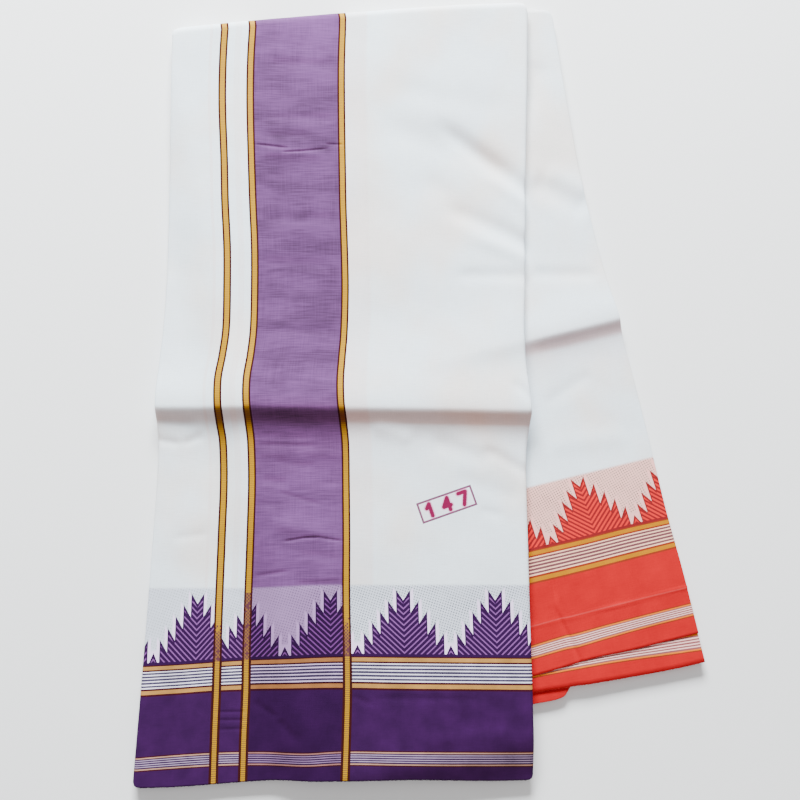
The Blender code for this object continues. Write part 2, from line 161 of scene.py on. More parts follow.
# Smaller creases, each a soft trough or ridge from one place to another in the pack frame.
Crease = namedtuple("Crease", "x y end_x end_y width rise")
FRONT_CREASES = [Crease(*row) for row in (
    (-0.0820, 0.5292, -0.0505, 0.5268, 0.0009, -0.0009),
    (-0.0575, 0.5228, -0.0390, 0.5250, 0.0009, -0.0009),
    (-0.0450, 0.5240, -0.0164, 0.5284, 0.0009, -0.0009),
    (-0.0200, 0.5321, -0.0060, 0.5320, 0.0009, -0.0008),
    (-0.0770, 0.5222, -0.0160, 0.5220, 0.0040, 0.0007),
    (-0.0780, 0.6045, -0.0060, 0.6060, 0.0040, -0.0006),
    (-0.0790, 0.5540, -0.0070, 0.5560, 0.0036, -0.0006),
    (-0.0740, 0.5380, -0.0300, 0.5395, 0.0030, -0.0005),
    (-0.0770, 0.4620, -0.0040, 0.4650, 0.0045, -0.0006),
    (-0.0760, 0.4250, -0.0100, 0.4230, 0.0040, -0.0005),
    (-0.0740, 0.3640, -0.0040, 0.3660, 0.0036, -0.0005),
    (-0.0690, 0.2392, -0.0440, 0.2360, 0.0030, -0.0007),
    (-0.0560, 0.2300, -0.0150, 0.2180, 0.0016, -0.0005),
    (-0.0740, 0.2190, -0.0480, 0.2180, 0.0030, -0.0004),
    (-0.0745, 0.2752, -0.0250, 0.2738, 0.0022, -0.0005),
    (-0.0740, 0.2682, -0.0186, 0.2676, 0.0018, -0.0006),
    (-0.0720, 0.2606, -0.0450, 0.2600, 0.0022, 0.0005),
    (-0.0590, 0.2545, -0.0210, 0.2505, 0.0022, -0.0006),
    (-0.0350, 0.2620, 0.0030, 0.2600, 0.0030, 0.0005),
    (-0.0360, 0.1790, 0.0020, 0.1750, 0.0026, -0.0004),
    (-0.0400, 0.1545, 0.0040, 0.1560, 0.0020, -0.0006),
    (-0.0480, 0.1885, -0.0300, 0.1918, 0.0010, -0.0008),
    (-0.0340, 0.1915, -0.0160, 0.1922, 0.0010, -0.0008),
    (-0.0190, 0.1920, 0.0010, 0.1890, 0.0010, -0.0007),
    (-0.0720, 0.1600, -0.0421, 0.1648, 0.0016, -0.0006),
    (-0.0600, 0.2030, -0.0100, 0.1950, 0.0050, 0.0007),
    (0.0700, 0.5630, 0.2020, 0.4660, 0.0085, -0.0034),
    (0.1150, 0.5150, 0.2020, 0.4540, 0.0060, 0.0009),
    (0.0760, 0.4830, 0.2020, 0.4300, 0.0085, -0.0031),
    (0.1000, 0.4560, 0.2020, 0.4190, 0.0060, 0.0009),
    (0.0894, 0.4177, 0.1700, 0.4196, 0.0060, -0.0012),
    (0.0200, 0.5550, 0.1600, 0.5080, 0.0140, -0.0018),
    (0.0569, 0.5091, 0.1560, 0.4538, 0.0110, -0.0013),
    (0.1400, 0.3270, 0.1800, 0.2900, 0.0040, -0.0014),
    (-0.1700, 0.2740, -0.1315, 0.2674, 0.0034, -0.0008),
    (-0.1340, 0.2674, -0.1160, 0.2765, 0.0034, -0.0008),
    (-0.1700, 0.2880, -0.1200, 0.2840, 0.0050, -0.0009),
    (0.1150, 0.2700, 0.1700, 0.2400, 0.0050, -0.0012),
    (0.1150, 0.2161, 0.1360, 0.2110, 0.0040, -0.0006),
    (0.0217, 0.2856, 0.0598, 0.2739, 0.0070, 0.0010),
    (0.0700, 0.2750, 0.1300, 0.2560, 0.0075, -0.0010),
    (0.0900, 0.2450, 0.1560, 0.2240, 0.0080, -0.0009),
    (-0.0990, 0.0525, -0.0745, 0.0525, 0.0010, -0.0004),
    (-0.0990, 0.0463, -0.0745, 0.0460, 0.0010, -0.0004),
    (-0.0980, 0.0390, -0.0750, 0.0392, 0.0012, -0.0004),
    (-0.0719, 0.0617, -0.0480, 0.0470, 0.0024, -0.0005),
    (-0.0500, 0.0480, -0.0309, 0.0278, 0.0024, -0.0005),
    (0.0084, 0.0665, 0.0260, 0.0584, 0.0020, -0.0005),
    (0.0200, 0.0640, 0.1200, 0.0620, 0.0030, -0.0004),
    (0.0600, 0.0300, 0.1500, 0.0360, 0.0060, 0.0006),
    (-0.1300, 0.6000, -0.1200, 0.4300, 0.0030, -0.0005),
    (0.0120, 0.6000, 0.0180, 0.3600, 0.0040, 0.0005),
    (0.1500, 0.2800, 0.1560, 0.1200, 0.0040, 0.0006),
    (-0.1500, 0.4200, -0.1520, 0.3300, 0.0045, 0.0007),
    (0.0350, 0.5900, 0.1500, 0.5700, 0.0120, -0.0009),
    (-0.1400, 0.1900, -0.1080, 0.1950, 0.0040, -0.0005),
)]
# The back flap's creases are in its own frame.
BACK_CREASES = [Crease(*row) for row in (
    (0.0560, 0.1480, 0.0060, 0.1900, 0.0110, -0.0022),
    (0.0400, 0.1420, 0.0040, 0.1720, 0.0090, 0.0010),
    (0.0790, 0.2330, 0.0100, 0.2470, 0.0060, -0.0012),
    (0.2300, 0.5310, 0.0900, 0.5300, 0.0008, 0.0008),
    (0.1100, 0.5302, -0.0600, 0.5245, 0.0008, 0.0008),
    (0.1150, 0.4600, 0.1168, 0.5180, 0.0016, -0.0010),
    (0.1205, 0.5150, 0.1050, 0.5780, 0.0016, -0.0010),
    (0.0900, 0.0700, 0.0300, 0.0850, 0.0120, -0.0014),
    (0.0400, 0.3300, 0.0900, 0.3500, 0.0060, -0.0007),
    (0.0200, 0.3900, 0.1000, 0.3850, 0.0090, 0.0008),
    (0.0900, 0.4300, 0.0980, 0.5000, 0.0040, -0.0006),
    (0.0200, 0.0400, 0.0450, 0.0800, 0.0110, -0.0010),
)]
CREASE_ENDS = 0.22

# Painted shade of the folds, put into the cloth's colour: how it follows a face that turns from the window,
# and a long crest.
SHADE_STEP = 0.0006
SHADE_FROM = 0.03
SHADE_RUN = 0.75
SHADE_SHARE = 0.55
FOLD_SHADE_PEAK = 0.0110
FOLD_SHADE_STEEP = 0.009
FOLD_SHADE_SHARP = 0.0045
FOLD_SHADE_LONG = 0.030
FOLD_SHADE_SHARE = 0.48
FOLD_SHADE_START = 0.005
FOLD_SHADE_KEPT = 0.5
# How strong the painted fold shade is, and how much of it is left towards the front flap's left side.
FOLD_SHADE_STRENGTH = 0.8
LEFT_SHADE = 0.30
LEFT_SHADE_START = -0.13
LEFT_SHADE_RUN = 0.22

# Gentle waves that keep the cloth from lying dead flat.
Wave = namedtuple("Wave", "x_length y_length turn rise")
WAVES = [
    Wave(0.210, 0.090, math.radians(14), 0.00030),
    Wave(0.070, 0.150, math.radians(-22), 0.00022),
    Wave(0.034, 0.052, math.radians(35), 0.00010),
]

# The route of the golden stripes and edges, up the front flap.
StripeRoute = namedtuple("StripeRoute", "up first second third")
STRIPE_ROUTES = [StripeRoute(*row) for row in (
    (0.0020, -0.0991, -0.0760, 0.0054),
    (0.0340, -0.0992, -0.0760, 0.0060),
    (0.0680, -0.0990, -0.0755, 0.0063),
    (0.1030, -0.0992, -0.0759, 0.0055),
    (0.1460, -0.0992, -0.0756, 0.0041),
    (0.1940, -0.0988, -0.0750, 0.0034),
    (0.2360, -0.0985, -0.0749, 0.0024),
    (0.2700, -0.1002, -0.0766, 0.0013),
    (0.2860, -0.1030, -0.0787, -0.0006),
    (0.3030, -0.1050, -0.0809, -0.0033),
    (0.3230, -0.1052, -0.0812, -0.0040),
    (0.3420, -0.1024, -0.0789, -0.0029),
    (0.3650, -0.1001, -0.0772, -0.0014),
    (0.4020, -0.1005, -0.0774, -0.0010),
    (0.4380, -0.1018, -0.0785, -0.0022),
    (0.4760, -0.1048, -0.0811, -0.0040),
    (0.5140, -0.1068, -0.0834, -0.0052),
    (0.5660, -0.1102, -0.0860, -0.0067),
    (0.6050, -0.1109, -0.0867, -0.0074),
    (0.6400, -0.1101, -0.0859, -0.0070),
)]
CLOTH_FIRST = -0.1000
CLOTH_SECOND = -0.0765
CLOTH_THIRD = 0.0040

# Where the border's lines lie on the front flap, over x.
BorderRoute = namedtuple("BorderRoute", "x edge low high gold base ground")
BORDER_ROUTES = [BorderRoute(*row) for row in (
    (-0.1600, -0.0050, 0.0070, 0.0176, 0.0653, 0.0885, 0.1502),
    (-0.1290, -0.0045, 0.0088, 0.0199, 0.0671, 0.0901, 0.1504),
    (-0.1020, -0.0029, 0.0102, 0.0213, 0.0689, 0.0920, 0.1505),
    (-0.0750, -0.0011, 0.0107, 0.0218, 0.0699, 0.0936, 0.1508),
    (-0.0320, 0.0000, 0.0104, 0.0216, 0.0717, 0.0960, 0.1528),
    (0.0040, 0.0000, 0.0118, 0.0231, 0.0720, 0.0971, 0.1537),
    (0.0490, 0.0000, 0.0108, 0.0223, 0.0710, 0.0967, 0.1539),
    (0.0980, -0.0016, 0.0094, 0.0215, 0.0704, 0.0962, 0.1542),
    (0.1580, -0.0026, 0.0081, 0.0205, 0.0697, 0.0957, 0.1544),
)]
BORDER = BorderRoute(0.0, 0.0, 0.0110, 0.0226, 0.0713, 0.0967, 0.1540)

BORDER_LINES = ("edge", "low", "high", "gold", "base", "ground")

# Where the temple towers stand in each stretch between the stripes. Count keeps the towers in step.
TOWER_PERIOD = 76.0
TowerRun = namedtuple("TowerRun", "start end middle period count")
TOWER_RUNS = [TowerRun(*row) for row in (
    (-0.170, CLOTH_FIRST, -0.1172, 0.0675, 0),
    (CLOTH_FIRST, CLOTH_SECOND, -0.0677, 0.0686, 0),
    (CLOTH_SECOND, -0.0458, -0.0810, 0.0704, 0),
    (-0.0458, CLOTH_THIRD, -0.0091, 0.0734, 1),
    (CLOTH_THIRD, 0.175, 0.0507, 0.0765, 0),
)]

# The orange border on the back flap, down from its fold, and on the sheet that has slipped out.
BackRoute = namedtuple("BackRoute", "across edge low high gold base ground")
BACK_ROUTES = [BackRoute(*row) for row in (
    (0.0040, 0.5662, 0.5514, 0.5404, 0.4917, 0.4668, 0.4128),
    (0.0450, 0.5666, 0.5522, 0.5411, 0.4929, 0.4669, 0.4139),
    (0.0800, 0.5667, 0.5537, 0.5421, 0.4940, 0.4680, 0.4149),
    (0.1080, 0.5666, 0.5553, 0.5432, 0.4946, 0.4683, 0.4158),
    (0.1170, 0.5674, 0.5548, 0.5429, 0.4947, 0.4684, 0.4161),
    (0.1450, 0.5688, 0.5561, 0.5448, 0.4949, 0.4686, 0.4165),
)]
SECOND_ROUTES = [BackRoute(*row) for row in (
    (0.0040, 0.5903, 0.5815, 0.5655, 0.5160, 0.4910, 0.4380),
    (0.0780, 0.5878, 0.5745, 0.5622, 0.5160, 0.4910, 0.4380),
    (0.1190, 0.5846, 0.5722, 0.5609, 0.5160, 0.4910, 0.4380),
    (0.1550, 0.5820, 0.5710, 0.5600, 0.5160, 0.4910, 0.4380),
)]
BACK_BORDER = BORDER._replace(ground=0.1518)
BACK_TOWER_MIDDLE = 0.0709
BACK_TOWER_PERIOD = 0.0762
BACK_TOWER_LEAN = 0.091
BACK_TOWER_BASE = 0.467

# How far the hidden back layers have slipped down.
THIRD_SLIP = 0.0262

# The colours of a border, up from its selvedge, in millimetres. Each row names where a colour starts.
Band = namedtuple("Band", "start colour")
HEM_BANDS = [Band(*row) for row in (
    (-9.0, "deep"),
    (10.7, "edging"),
    (11.6, "pale_gold"),
    (12.7, "hem_line"),
    (13.8, "hem_lined"),
    (14.6, "hem_line"),
    (15.6, "hem_lined"),
    (16.4, "hem_line"),
    (17.4, "hem_lined"),
    (18.2, "hem_line"),
    (19.2, "hem_lined"),
    (20.0, "hem_line"),
    (20.8, "pale_gold"),
    (22.0, "edging"),
    (22.9, "deep"),
)]
TEMPLE_BANDS = [Band(*row) for row in (
    (60.0, "deep"),
    (70.0, "edging"),
    (71.6, "gold"),
    (74.8, "edging"),
    (76.3, "lined"),
    (77.5, "line"),
    (79.2, "lined"),
    (80.3, "line"),
    (82.0, "lined"),
    (83.1, "line"),
    (84.7, "lined"),
    (85.8, "line"),
    (87.4, "lined"),
    (88.5, "line"),
    (90.1, "lined"),
    (91.1, "edging"),
    (92.4, "gold"),
    (95.5, "edging"),
    (96.6, "tower"),
)]
HEM_RANGE = (-10.0, 30.0)
TEMPLE_RANGE = (55.0, 105.0)
RAMPS_MEET = 40.0
BASE_LINE = 1.9
GROUND_FADE = 1.5

# The temple tower, in millimetres: a notched middle column, four steps each side, a pyramid between.
COLUMN_HALF = 5.8
STEP_WIDE = 6.75
STEP_DROP = 8.65
STEP_FALL = 9.8
STEP_COUNT = 4
TOWER_TIP = 53.4
PYRAMID_HALF = 4.6
PYRAMID_TALL = 9.2
PYRAMID_LIFT = 1.6
CHEVRON_PITCH = 4.43
CHEVRON_SLOPE = 0.92
CHEVRON_START = 0.545
CHEVRON_LIGHT = 0.32
ORANGE_LIGHT = 0.52
CHEVRON_EDGE = 3.0
CHEVRON_MARGIN = 1.0

# The golden stripes, the painted highlight along a fold ridge of the orange band, and the dotted ground, in
# millimetres and shares.
STRIPE_GOLD = 1.95
STRIPE_EDGE = 3.45
STRIPE_WIDER = 0.35
STRIPE_NARROWER = 0.15
FOLD_HIGHLIGHT_UP = 35.9
FOLD_HIGHLIGHT_LEAN = 0.0088
FOLD_HIGHLIGHT_CORE = 0.2
FOLD_HIGHLIGHT_WIDE = 0.9
FOLD_HIGHLIGHT_SHARE = 0.055
MOTTLE = 1.0
ORANGE_MOTTLE = 0.35
TICK_PITCH = 1.5
TICK_SHARE = 0.34
TICK_IN_BORDER = 0.42
TICK_ABOVE = 0.36
SPECKLE = (1.30, 1.40)
SPECKLE_SHARE = 0.62
SPECKLE_FADE = (12.0, 34.0)
SPECKLE_GROUND = 0.58
SPECKLE_ORDER = 0.55
SPECKLE_DARK = 0.9
DOT_PITCH = 2.15
DOT_RADIUS = 0.27
DOT_TURN = math.radians(17.5)
DOT_MARGIN = 2.5
DOT_CLEAR = 3.4
DOTS_FROM = 0.85
DOTS_STRENGTH = (1.1, 0.2)
DOTS_FADE = (-90.0, 30.0)
DOTS_LEFT = 0.45
# Whole cells that are added before a fraction is taken, so that no count is below nought.
CELLS_BELOW = 500.0

# Noise that is drawn out along the threads: cycles per millimetre each way, a shift, and its detail.
Streaks = namedtuple("Streaks", "across up shift detail")
WEFT = Streaks(0.10, 1.25, 0.0, 3.0)
WARP = Streaks(1.10, 0.07, 5.0, 3.0)
CLOUD = Streaks(0.03, 0.03, 9.0, 2.0)
VEIL = Streaks(0.013, 0.010, 2.0, 2.0)
DOTS_CLOUD = Streaks(0.07, 0.07, 0.0, 1.0)
MOTTLE_CLOUD = Streaks(0.055, 0.055, 0.0, 5.0)
WEFT_SHARE = 0.62
CLOUD_SHARE = 0.25
VEIL_SPAN = (0.42, 0.72)
LilacTone = namedtuple("LilacTone", "across up shift detail low high share")
LILAC_TONES = [
    LilacTone(0.045, 1.1, 3.0, 4.0, 0.30, 0.70, 0.42),
    LilacTone(1.6, 0.035, 7.0, 2.0, 0.25, 0.75, 0.24),
    LilacTone(0.025, 0.06, 4.0, 2.0, 0.35, 0.65, 0.34),
]
# The lilac band is lighter towards its two ends and darker in the middle of its height.
LILAC_MIX = 0.85
LILAC_ENDS_LIFT = 0.26
LILAC_LIFT_TOP = (560.0, 650.0)
LILAC_LIFT_BOTTOM = (230.0, 400.0)

# How the cotton takes the light.
THREAD_RELIEF = 0.35
WEAVE_BUMP = 0.5
WEAVE_DEPTH = 0.00022
WEAVE_SHINE = 0.15
CLOTH_ROUGHNESS = 0.86
GOLD_SHINE = 0.35
COTTON_SPECULAR = 0.08

# Lines of the layers beneath that show faintly through the white, in millimetres across the cloth.
SeenThrough = namedtuple("SeenThrough", "middle half strength")
SEEN_THROUGH = [
    SeenThrough(-111.0, 1.5, 0.35),
    SeenThrough(-88.0, 3.0, 0.30),
    SeenThrough(15.0, 13.0, 0.45),
]
SEEN_CORE = 0.7

# The size mark's place, in the pack frame, and its plain numbers as pen strokes in a unit box.
MARK_MIDDLE = (0.0870, 0.2206)
MARK_TURN = math.radians(19.7)
MARK_SIZE = (47.2, 16.2)
MARK_FRAME = 0.85
MARK_PEN = 1.60
MARK_HALO = 1.7
MARK_WASH = 0.12
MARK_GRAIN = 1.3
MARK_ROUGH = 0.7
MARK_SHARES = (0.95, 0.75, 0.97)
DIGIT_SIZE = (6.4, 10.2)
DIGIT_APART = 15.0
Stroke = namedtuple("Stroke", "digit x y end_x end_y")
MARK_STROKES = [Stroke(*row) for row in (
    (-1, 0.10, -0.50, 0.10, 0.50),
    (-1, 0.10, 0.50, -0.35, 0.20),
    (0, 0.25, -0.50, 0.25, 0.50),
    (0, 0.25, 0.50, -0.50, -0.15),
    (0, -0.50, -0.15, 0.50, -0.15),
    (1, -0.50, 0.50, 0.50, 0.50),
    (1, 0.50, 0.50, -0.15, -0.50),
)]

# How finely the sheets are divided, in metres.
ROW_STEP = 0.0027
COLUMN_STEP = 0.0030
CREASE_STEP = 0.0013
CREASE_SPAN = (-0.018, 0.008)
EDGE_SHARES = (0.0, 0.12, 0.32, 0.60)
FRONT_END_ROWS = (0.0, 0.0008, 0.0020)
FRONT_ROWS_FROM = 0.004
BACK_TURN_SHARE = 0.35
COARSE_STEP = 0.0070
UNDER_STEP = 0.0040
FINE_CREASE = 0.0021
FINE_SHARE = 0.85
SPREAD_EASE = 0.35
BACK_SHOWN = 0.175
SHEET_THICKNESS = 0.0007
EDGE_BULGE = 0.00025
TINY = 1e-12

# The map for baking: its scale, the margin, and where the inner side and the rim start.
BAKE_SCALE = 1.46
BAKE_TALLEST = 0.98
BAKE_MARGIN = 0.01
BAKE_INNER = 0.50
BAKE_RIM = 0.975

# Folded layers: how many show at a side, and how far their folds and ends vary.
FRONT_LOOPS = 11
BACK_LOOPS = 9
LOOP_POINTS = (-0.96, -0.72, -0.30, 0.30, 0.72, 0.96)
LOOP_DEPTH = 0.0013
LOOP_STRAY = 0.0011
END_STRAY = 0.0016
STRAY_WAVES = ((0.31, 0.5), (0.12, 0.3), (0.047, 0.2))
STRAY_LEAST = 0.4
PILE_EDGES = (0.006, 0.015)
PILE_COLUMNS = 56
PILE_STEP = 0.0042
PILE_SPARE = 0.0007
STEP_OUT = (0.1150, 0.1290)
STEP_OUT_COLUMNS = 12

# The weft's turns along a selvedge, and their thread.
LOOP_RADIUS = 0.00042
LOOP_UNEVENNESS = 0.25
LOOP_SIDES = 8
LOOP_TURNS = ((-0.35, -0.35, 0.0), (0.35, 0.35, 3.0))
LOOP_SPAN = (0.02, 0.98)
LOOP_LINE_POINTS = 90
THREAD_RADIUS = 0.00017
THREAD_SIDES = 4
THREAD_GRAIN = 1.7
THREAD_TONES = (0.75, 1.3)
THREAD_ROUGHNESS = (0.2, 0.7)

# Camera, in the pack frame, and the stage with its lamps.
CAMERA_AT = (-0.02654449, 0.18369709, 0.85020323)
CAMERA_TURN = (0.14691367, -0.08848571, 0.01427316)
LENS = 45.0
SENSOR = 36.0
CLIP_START = 0.01
FLOOR_HALF = 6.0
FLOOR_COLOUR = (0.90, 0.90, 0.90, 1.0)
FLOOR_ROUGHNESS = 0.9
SKY_COLOUR = (0.97, 0.98, 1.0, 1.0)
SKY_STRENGTH = 0.40
Lamp = namedtuple("Lamp", "name at size power colour")
LAMPS = [
    Lamp("Window", (-0.35, 2.0, 1.15), (1.2, 0.7), 275.0, (0.94, 0.98, 1.0)),
    Lamp("Ceiling", (0.1, 0.2, 2.2), (1.8, 1.8), 12.0, (1.0, 1.0, 1.0)),
    Lamp("Fill", (0.5, -1.8, 1.0), (1.2, 1.0), 7.0, (1.0, 0.86, 0.80)),
]


def ease(value):
    """Smooth step from 0 to 1."""
    value = np.clip(value, 0.0, 1.0)
    return value * value * (3.0 - 2.0 * value)


def read_row(rows, at, column):
    """Value of a column at places between rows, on a smooth curve through them."""
    keys = np.array([row[0] for row in rows])
    values = np.array([getattr(row, column) for row in rows])
    at = np.clip(at, keys[0], keys[-1])
    index = np.clip(np.searchsorted(keys, at, side="right") - 1, 0, len(keys) - 2)
    low = np.maximum(np.arange(len(keys)) - 1, 0)
    high = np.minimum(np.arange(len(keys)) + 1, len(keys) - 1)
    slopes = (values[high] - values[low]) / (keys[high] - keys[low])
    span = keys[index + 1] - keys[index]
    share = (at - keys[index]) / span
    rise = values[index + 1] - values[index]
    start, end = slopes[index] * span, slopes[index + 1] * span
    bend = (start + end - 2.0 * rise) * share + 3.0 * rise - 2.0 * start - end
    return values[index] + share * (start + share * bend)


def to_back(x, y):
    """Pack frame to the back flap's own frame, as across and down."""
    dx, dy = x - BACK_CORNER[0], y - BACK_CORNER[1]
    cos, sin = math.cos(BACK_TURN), math.sin(BACK_TURN)
    return -dx * cos - dy * sin, dx * sin - dy * cos


def from_back(across, down):
    """The back flap's own frame to the pack frame."""
    cos, sin = math.cos(BACK_TURN), math.sin(BACK_TURN)
    return BACK_CORNER[0] - across * cos + down * sin, BACK_CORNER[1] - across * sin - down * cos


def crest(distance, steep, easy):
    """Height share of a crease, at a distance past its crest (negative on its steep side)."""
    run = np.where(distance < 0.0, steep, easy)
    return (1.0 + (distance / run) ** 2) ** -1.5


def front_crease_line(x):
    bow = FRONT_CREASE_BOW * np.cos(x / PANEL_WIDTH * math.pi)
    return FRONT_CREASE_UP + bow + FRONT_CREASE_SLOPE * np.maximum(x, 0.0)


def front_crease(x, y):
    return FRONT_CREASE_RISE * crest(y - front_crease_line(x), FRONT_CREASE_STEEP, FRONT_CREASE_EASY)


def back_crease_line(across):
    return BACK_CREASE_DOWN + BACK_CREASE_SLOPE * across


def back_crease(across, down, bridge=1.0):
    """Height of the back flap's crease, or of what bridges it over a wider run."""
    fade = ease((BACK_CREASE_END * bridge - across) / (BACK_CREASE_FADE * bridge))
    return BACK_CREASE_RISE * fade * crest(
        back_crease_line(across) - down, BACK_CREASE_STEEP * bridge, BACK_CREASE_EASY * bridge)


def small_creases(rows, x, y):
    """Soft troughs and ridges, each fading out towards its two ends."""
    total = np.zeros_like(x + y)
    for row in rows:
        run_x, run_y = row.end_x - row.x, row.end_y - row.y
        length = math.hypot(run_x, run_y)
        share = ((x - row.x) * run_x + (y - row.y) * run_y) / length ** 2
        beside = ((y - row.y) * run_x - (x - row.x) * run_y) / length
        fade = ease(share / CREASE_ENDS) * ease((1.0 - share) / CREASE_ENDS)
        total += row.rise * fade * np.exp(-(beside / row.width) ** 2)
    return total


def waves(x, y):
    total = np.zeros_like(x + y)
    for row in WAVES:
        cos, sin = math.cos(row.turn), math.sin(row.turn)
        along, beside = x * cos + y * sin, y * cos - x * sin
        swell = np.sin(math.tau * along / row.x_length) * np.cos(math.tau * beside / row.y_length)
        total += row.rise * swell
    return total


def back_surface(across, down):
    """Top of the back flap's upper sheet."""
    fine = small_creases(BACK_CREASES, across, down) + waves(across, down)
    return BACK_TOP + back_crease(across, down) + fine


def fold_line(x):
    """Where the middle of the top roll lies, over x."""
    middle = (FRONT_SECTIONS[-1].left + FRONT_SECTIONS[-1].right) / 2.0
    half = (FRONT_SECTIONS[-1].right - FRONT_SECTIONS[-1].left) / 2.0
    bow = FOLD_BOW * (1.0 - ((x - middle) / half) ** 2)
    near_end = np.clip(1.0 - (half - np.abs(x - middle)) / FOLD_CORNER, 0.0, 1.0)
    corner = FOLD_CORNER_DROP * (1.0 - np.sqrt(1.0 - near_end ** 2))
    return FOLD_START[1] + FOLD_SLOPE * (x - FOLD_START[0]) + bow - corner


def support(x, y):
    """1 where the front flap lies on the back flap, 0 where it lies on the surface."""
    across, down = to_back(x, y)
    side = read_row(BACK_SECTIONS, down, "left") + SAG_START
    end = read_row(BACK_ENDS, across, "layers") + SAG_START
    return ease((side + SAG_RUN - across) / SAG_RUN) * ease((end + SAG_RUN - down) / SAG_RUN)


def soft_folds(x, y):
    total = np.zeros_like(x + y)
    for fold in SOFT_FOLDS:
        cos, sin = math.cos(fold.turn), math.sin(fold.turn)
        along = (x - fold.x) * cos + (y - fold.y) * sin
        beside = (y - fold.y) * cos - (x - fold.x) * sin
        total += fold.rise * np.exp(-(along / fold.length) ** 2 - (beside / fold.width) ** 2)
    return total


def front_sides(y):
    return read_row(FRONT_SECTIONS, y, "left"), read_row(FRONT_SECTIONS, y, "right")


def edge_turn(distance):
    """How far a loose sheet has turned down at a distance from its side edge."""
    share = np.clip(1.0 - distance / EDGE_TURN_WIDTH, 0.0, 1.0)
    return EDGE_TURN_DROP * (1.0 - np.sqrt(1.0 - share ** 2))


def front_rest(x, y):
    """Underside of the front flap's pile."""
    return support(x, y) * (FRONT_REST + back_crease(*to_back(x, y), bridge=CREASE_BRIDGE))


def front_form(x, y):
    """Top of the front flap without its small creases."""
    left, right = front_sides(y)
    turned = edge_turn(np.minimum(x - left, right - x))
    shared = CREASE_SHARE_IN_FRONT * back_crease(*to_back(x, y), bridge=CREASE_BRIDGE)
    return support(x, y) * FRONT_REST + FRONT_PILE - turned + front_crease(x, y) + shared + soft_folds(x, y)


def front_surface(x, y):
    """Top of the front flap's sheet."""
    return front_form(x, y) + small_creases(FRONT_CREASES, x, y) + waves(x, y)


def front_selvedge(x):
    left = LEFT_DIP * ease((LEFT_DIP_START - x) / LEFT_DIP_RUN)
    return -left - RIGHT_DIP * ease((x - RIGHT_DIP_START) / RIGHT_DIP_RUN)


def stretched(row, first, last, blend_start, blend_end, length):
    """Place of a row, once the stretches before and after the blends follow the flap's end lines."""
    start = first + (blend_start - first) * row / blend_start
    end = blend_end + (last - blend_end) * (row - blend_end) / (length - blend_end)
    return np.where(row < blend_start, start, np.where(row > blend_end, end, row))


def rounded(side, end, radius):
    """Distances from two edges, moved so that the corner between them is round."""
    a, b = np.maximum(radius - side, 0.0), np.maximum(radius - end, 0.0)
    both = (a > 0.0) & (b > 0.0)
    pull = np.where(both, np.maximum(a, b) / np.maximum(np.hypot(a, b), TINY), 1.0)
    return np.where(both, radius - a * pull, side), np.where(both, radius - b * pull, end)


def front_plan(share, row, side_in=0.0, low_in=0.0, high_in=0.0):
    """Plan place of a point of the front flap, set in from its edges."""
    first, final = FRONT_SECTIONS[0], FRONT_SECTIONS[-1]
    low = front_selvedge(first.left + share * (first.right - first.left)) + low_in
    high = fold_line(final.left + share * (final.right - final.left)) - high_in
    y = stretched(row, low, high, *FRONT_BLENDS)
    left, right = front_sides(y)
    width = right - left - 2.0 * side_in
    side, end = rounded(np.minimum(share, 1.0 - share) * width, y - low, FRONT_CORNER)
    return np.where(share < 0.5, left + side_in + side, right - side_in - side), low + end


def room_in_roll(height):
    """How far past the middle of the top roll a hidden layer may reach at a height."""
    radius = (BACK_TOP + FRONT_PILE + GAP) / 2.0
    inside = (radius - WALL - ROLL_INNER_GAP) ** 2 - (radius - height) ** 2
    return np.where(inside > 0.0, np.sqrt(np.maximum(inside, 0.0)), -ROLL_CLEAR)


def back_plan(share, row, last, side_in=0.0, low_in=0.0, height=BACK_PILE):
    """Place of a point of the back flap, in its own frame. last names the line that it ends on."""
    guess = share * PANEL_WIDTH
    top = read_row(BACK_ENDS, guess, "fold") + side_in
    x, y = from_back(guess, top)
    top = top + np.maximum(y - fold_line(x) - room_in_roll(height), 0.0)
    low = read_row(BACK_ENDS, guess, last) - low_in
    down = stretched(row, top, low, *BACK_BLENDS)
    right, left = read_row(BACK_SECTIONS, down, "right"), read_row(BACK_SECTIONS, down, "left")
    width = left - right - 2.0 * side_in
    side, from_top = rounded(np.minimum(share, 1.0 - share) * width, down - top, BACK_CORNER_ROUND)
    return np.where(share < 0.5, right + side_in + side, left - side_in - side), top + from_top


def between(at, rows, lines, places, nominal):
    """Cloth distance from the selvedge: each measured line of a border goes to its nominal place."""
    measured = np.stack([read_row(rows, places, name) for name in lines])
    target = np.array([getattr(nominal, name) for name in lines])
    found = at - measured[0] + target[0]
    for k in range(1, len(lines)):
        share = (at - measured[k - 1]) / (measured[k] - measured[k - 1])
        stretch = target[k - 1] + share * (target[k] - target[k - 1])
        past = share > 0.0
        found = np.where(past, stretch, found)
    beyond = at > measured[-1]
    return np.where(beyond, target[-1] + at - measured[-1], found)


def front_cloth_place(x, y):
    """Cloth coordinates of a place on the front flap: across the panel, and up from the selvedge."""
    first, second, third = [read_row(STRIPE_ROUTES, y, name) for name in ("first", "second", "third")]
    middle = CLOTH_FIRST + (x - first) / (second - first) * (CLOTH_SECOND - CLOTH_FIRST)
    band = CLOTH_SECOND + (x - second) / (third - second) * (CLOTH_THIRD - CLOTH_SECOND)
    across = np.where(x < third, band, x - third + CLOTH_THIRD)
    across = np.where(x < second, middle, across)
    across = np.where(x < first, x - first + CLOTH_FIRST, across)
    return across, between(y, BORDER_ROUTES, BORDER_LINES, x, BORDER), front_chart(across)


def front_chart(across):
    """Distance along the run of towers, counted in standard periods from a tower's middle."""
    chart = np.zeros_like(across)
    for run in TOWER_RUNS:
        here = (across >= run.start) & (across < run.end)
        chart = np.where(here, (across - run.middle) / run.period + run.count, chart)
    return chart


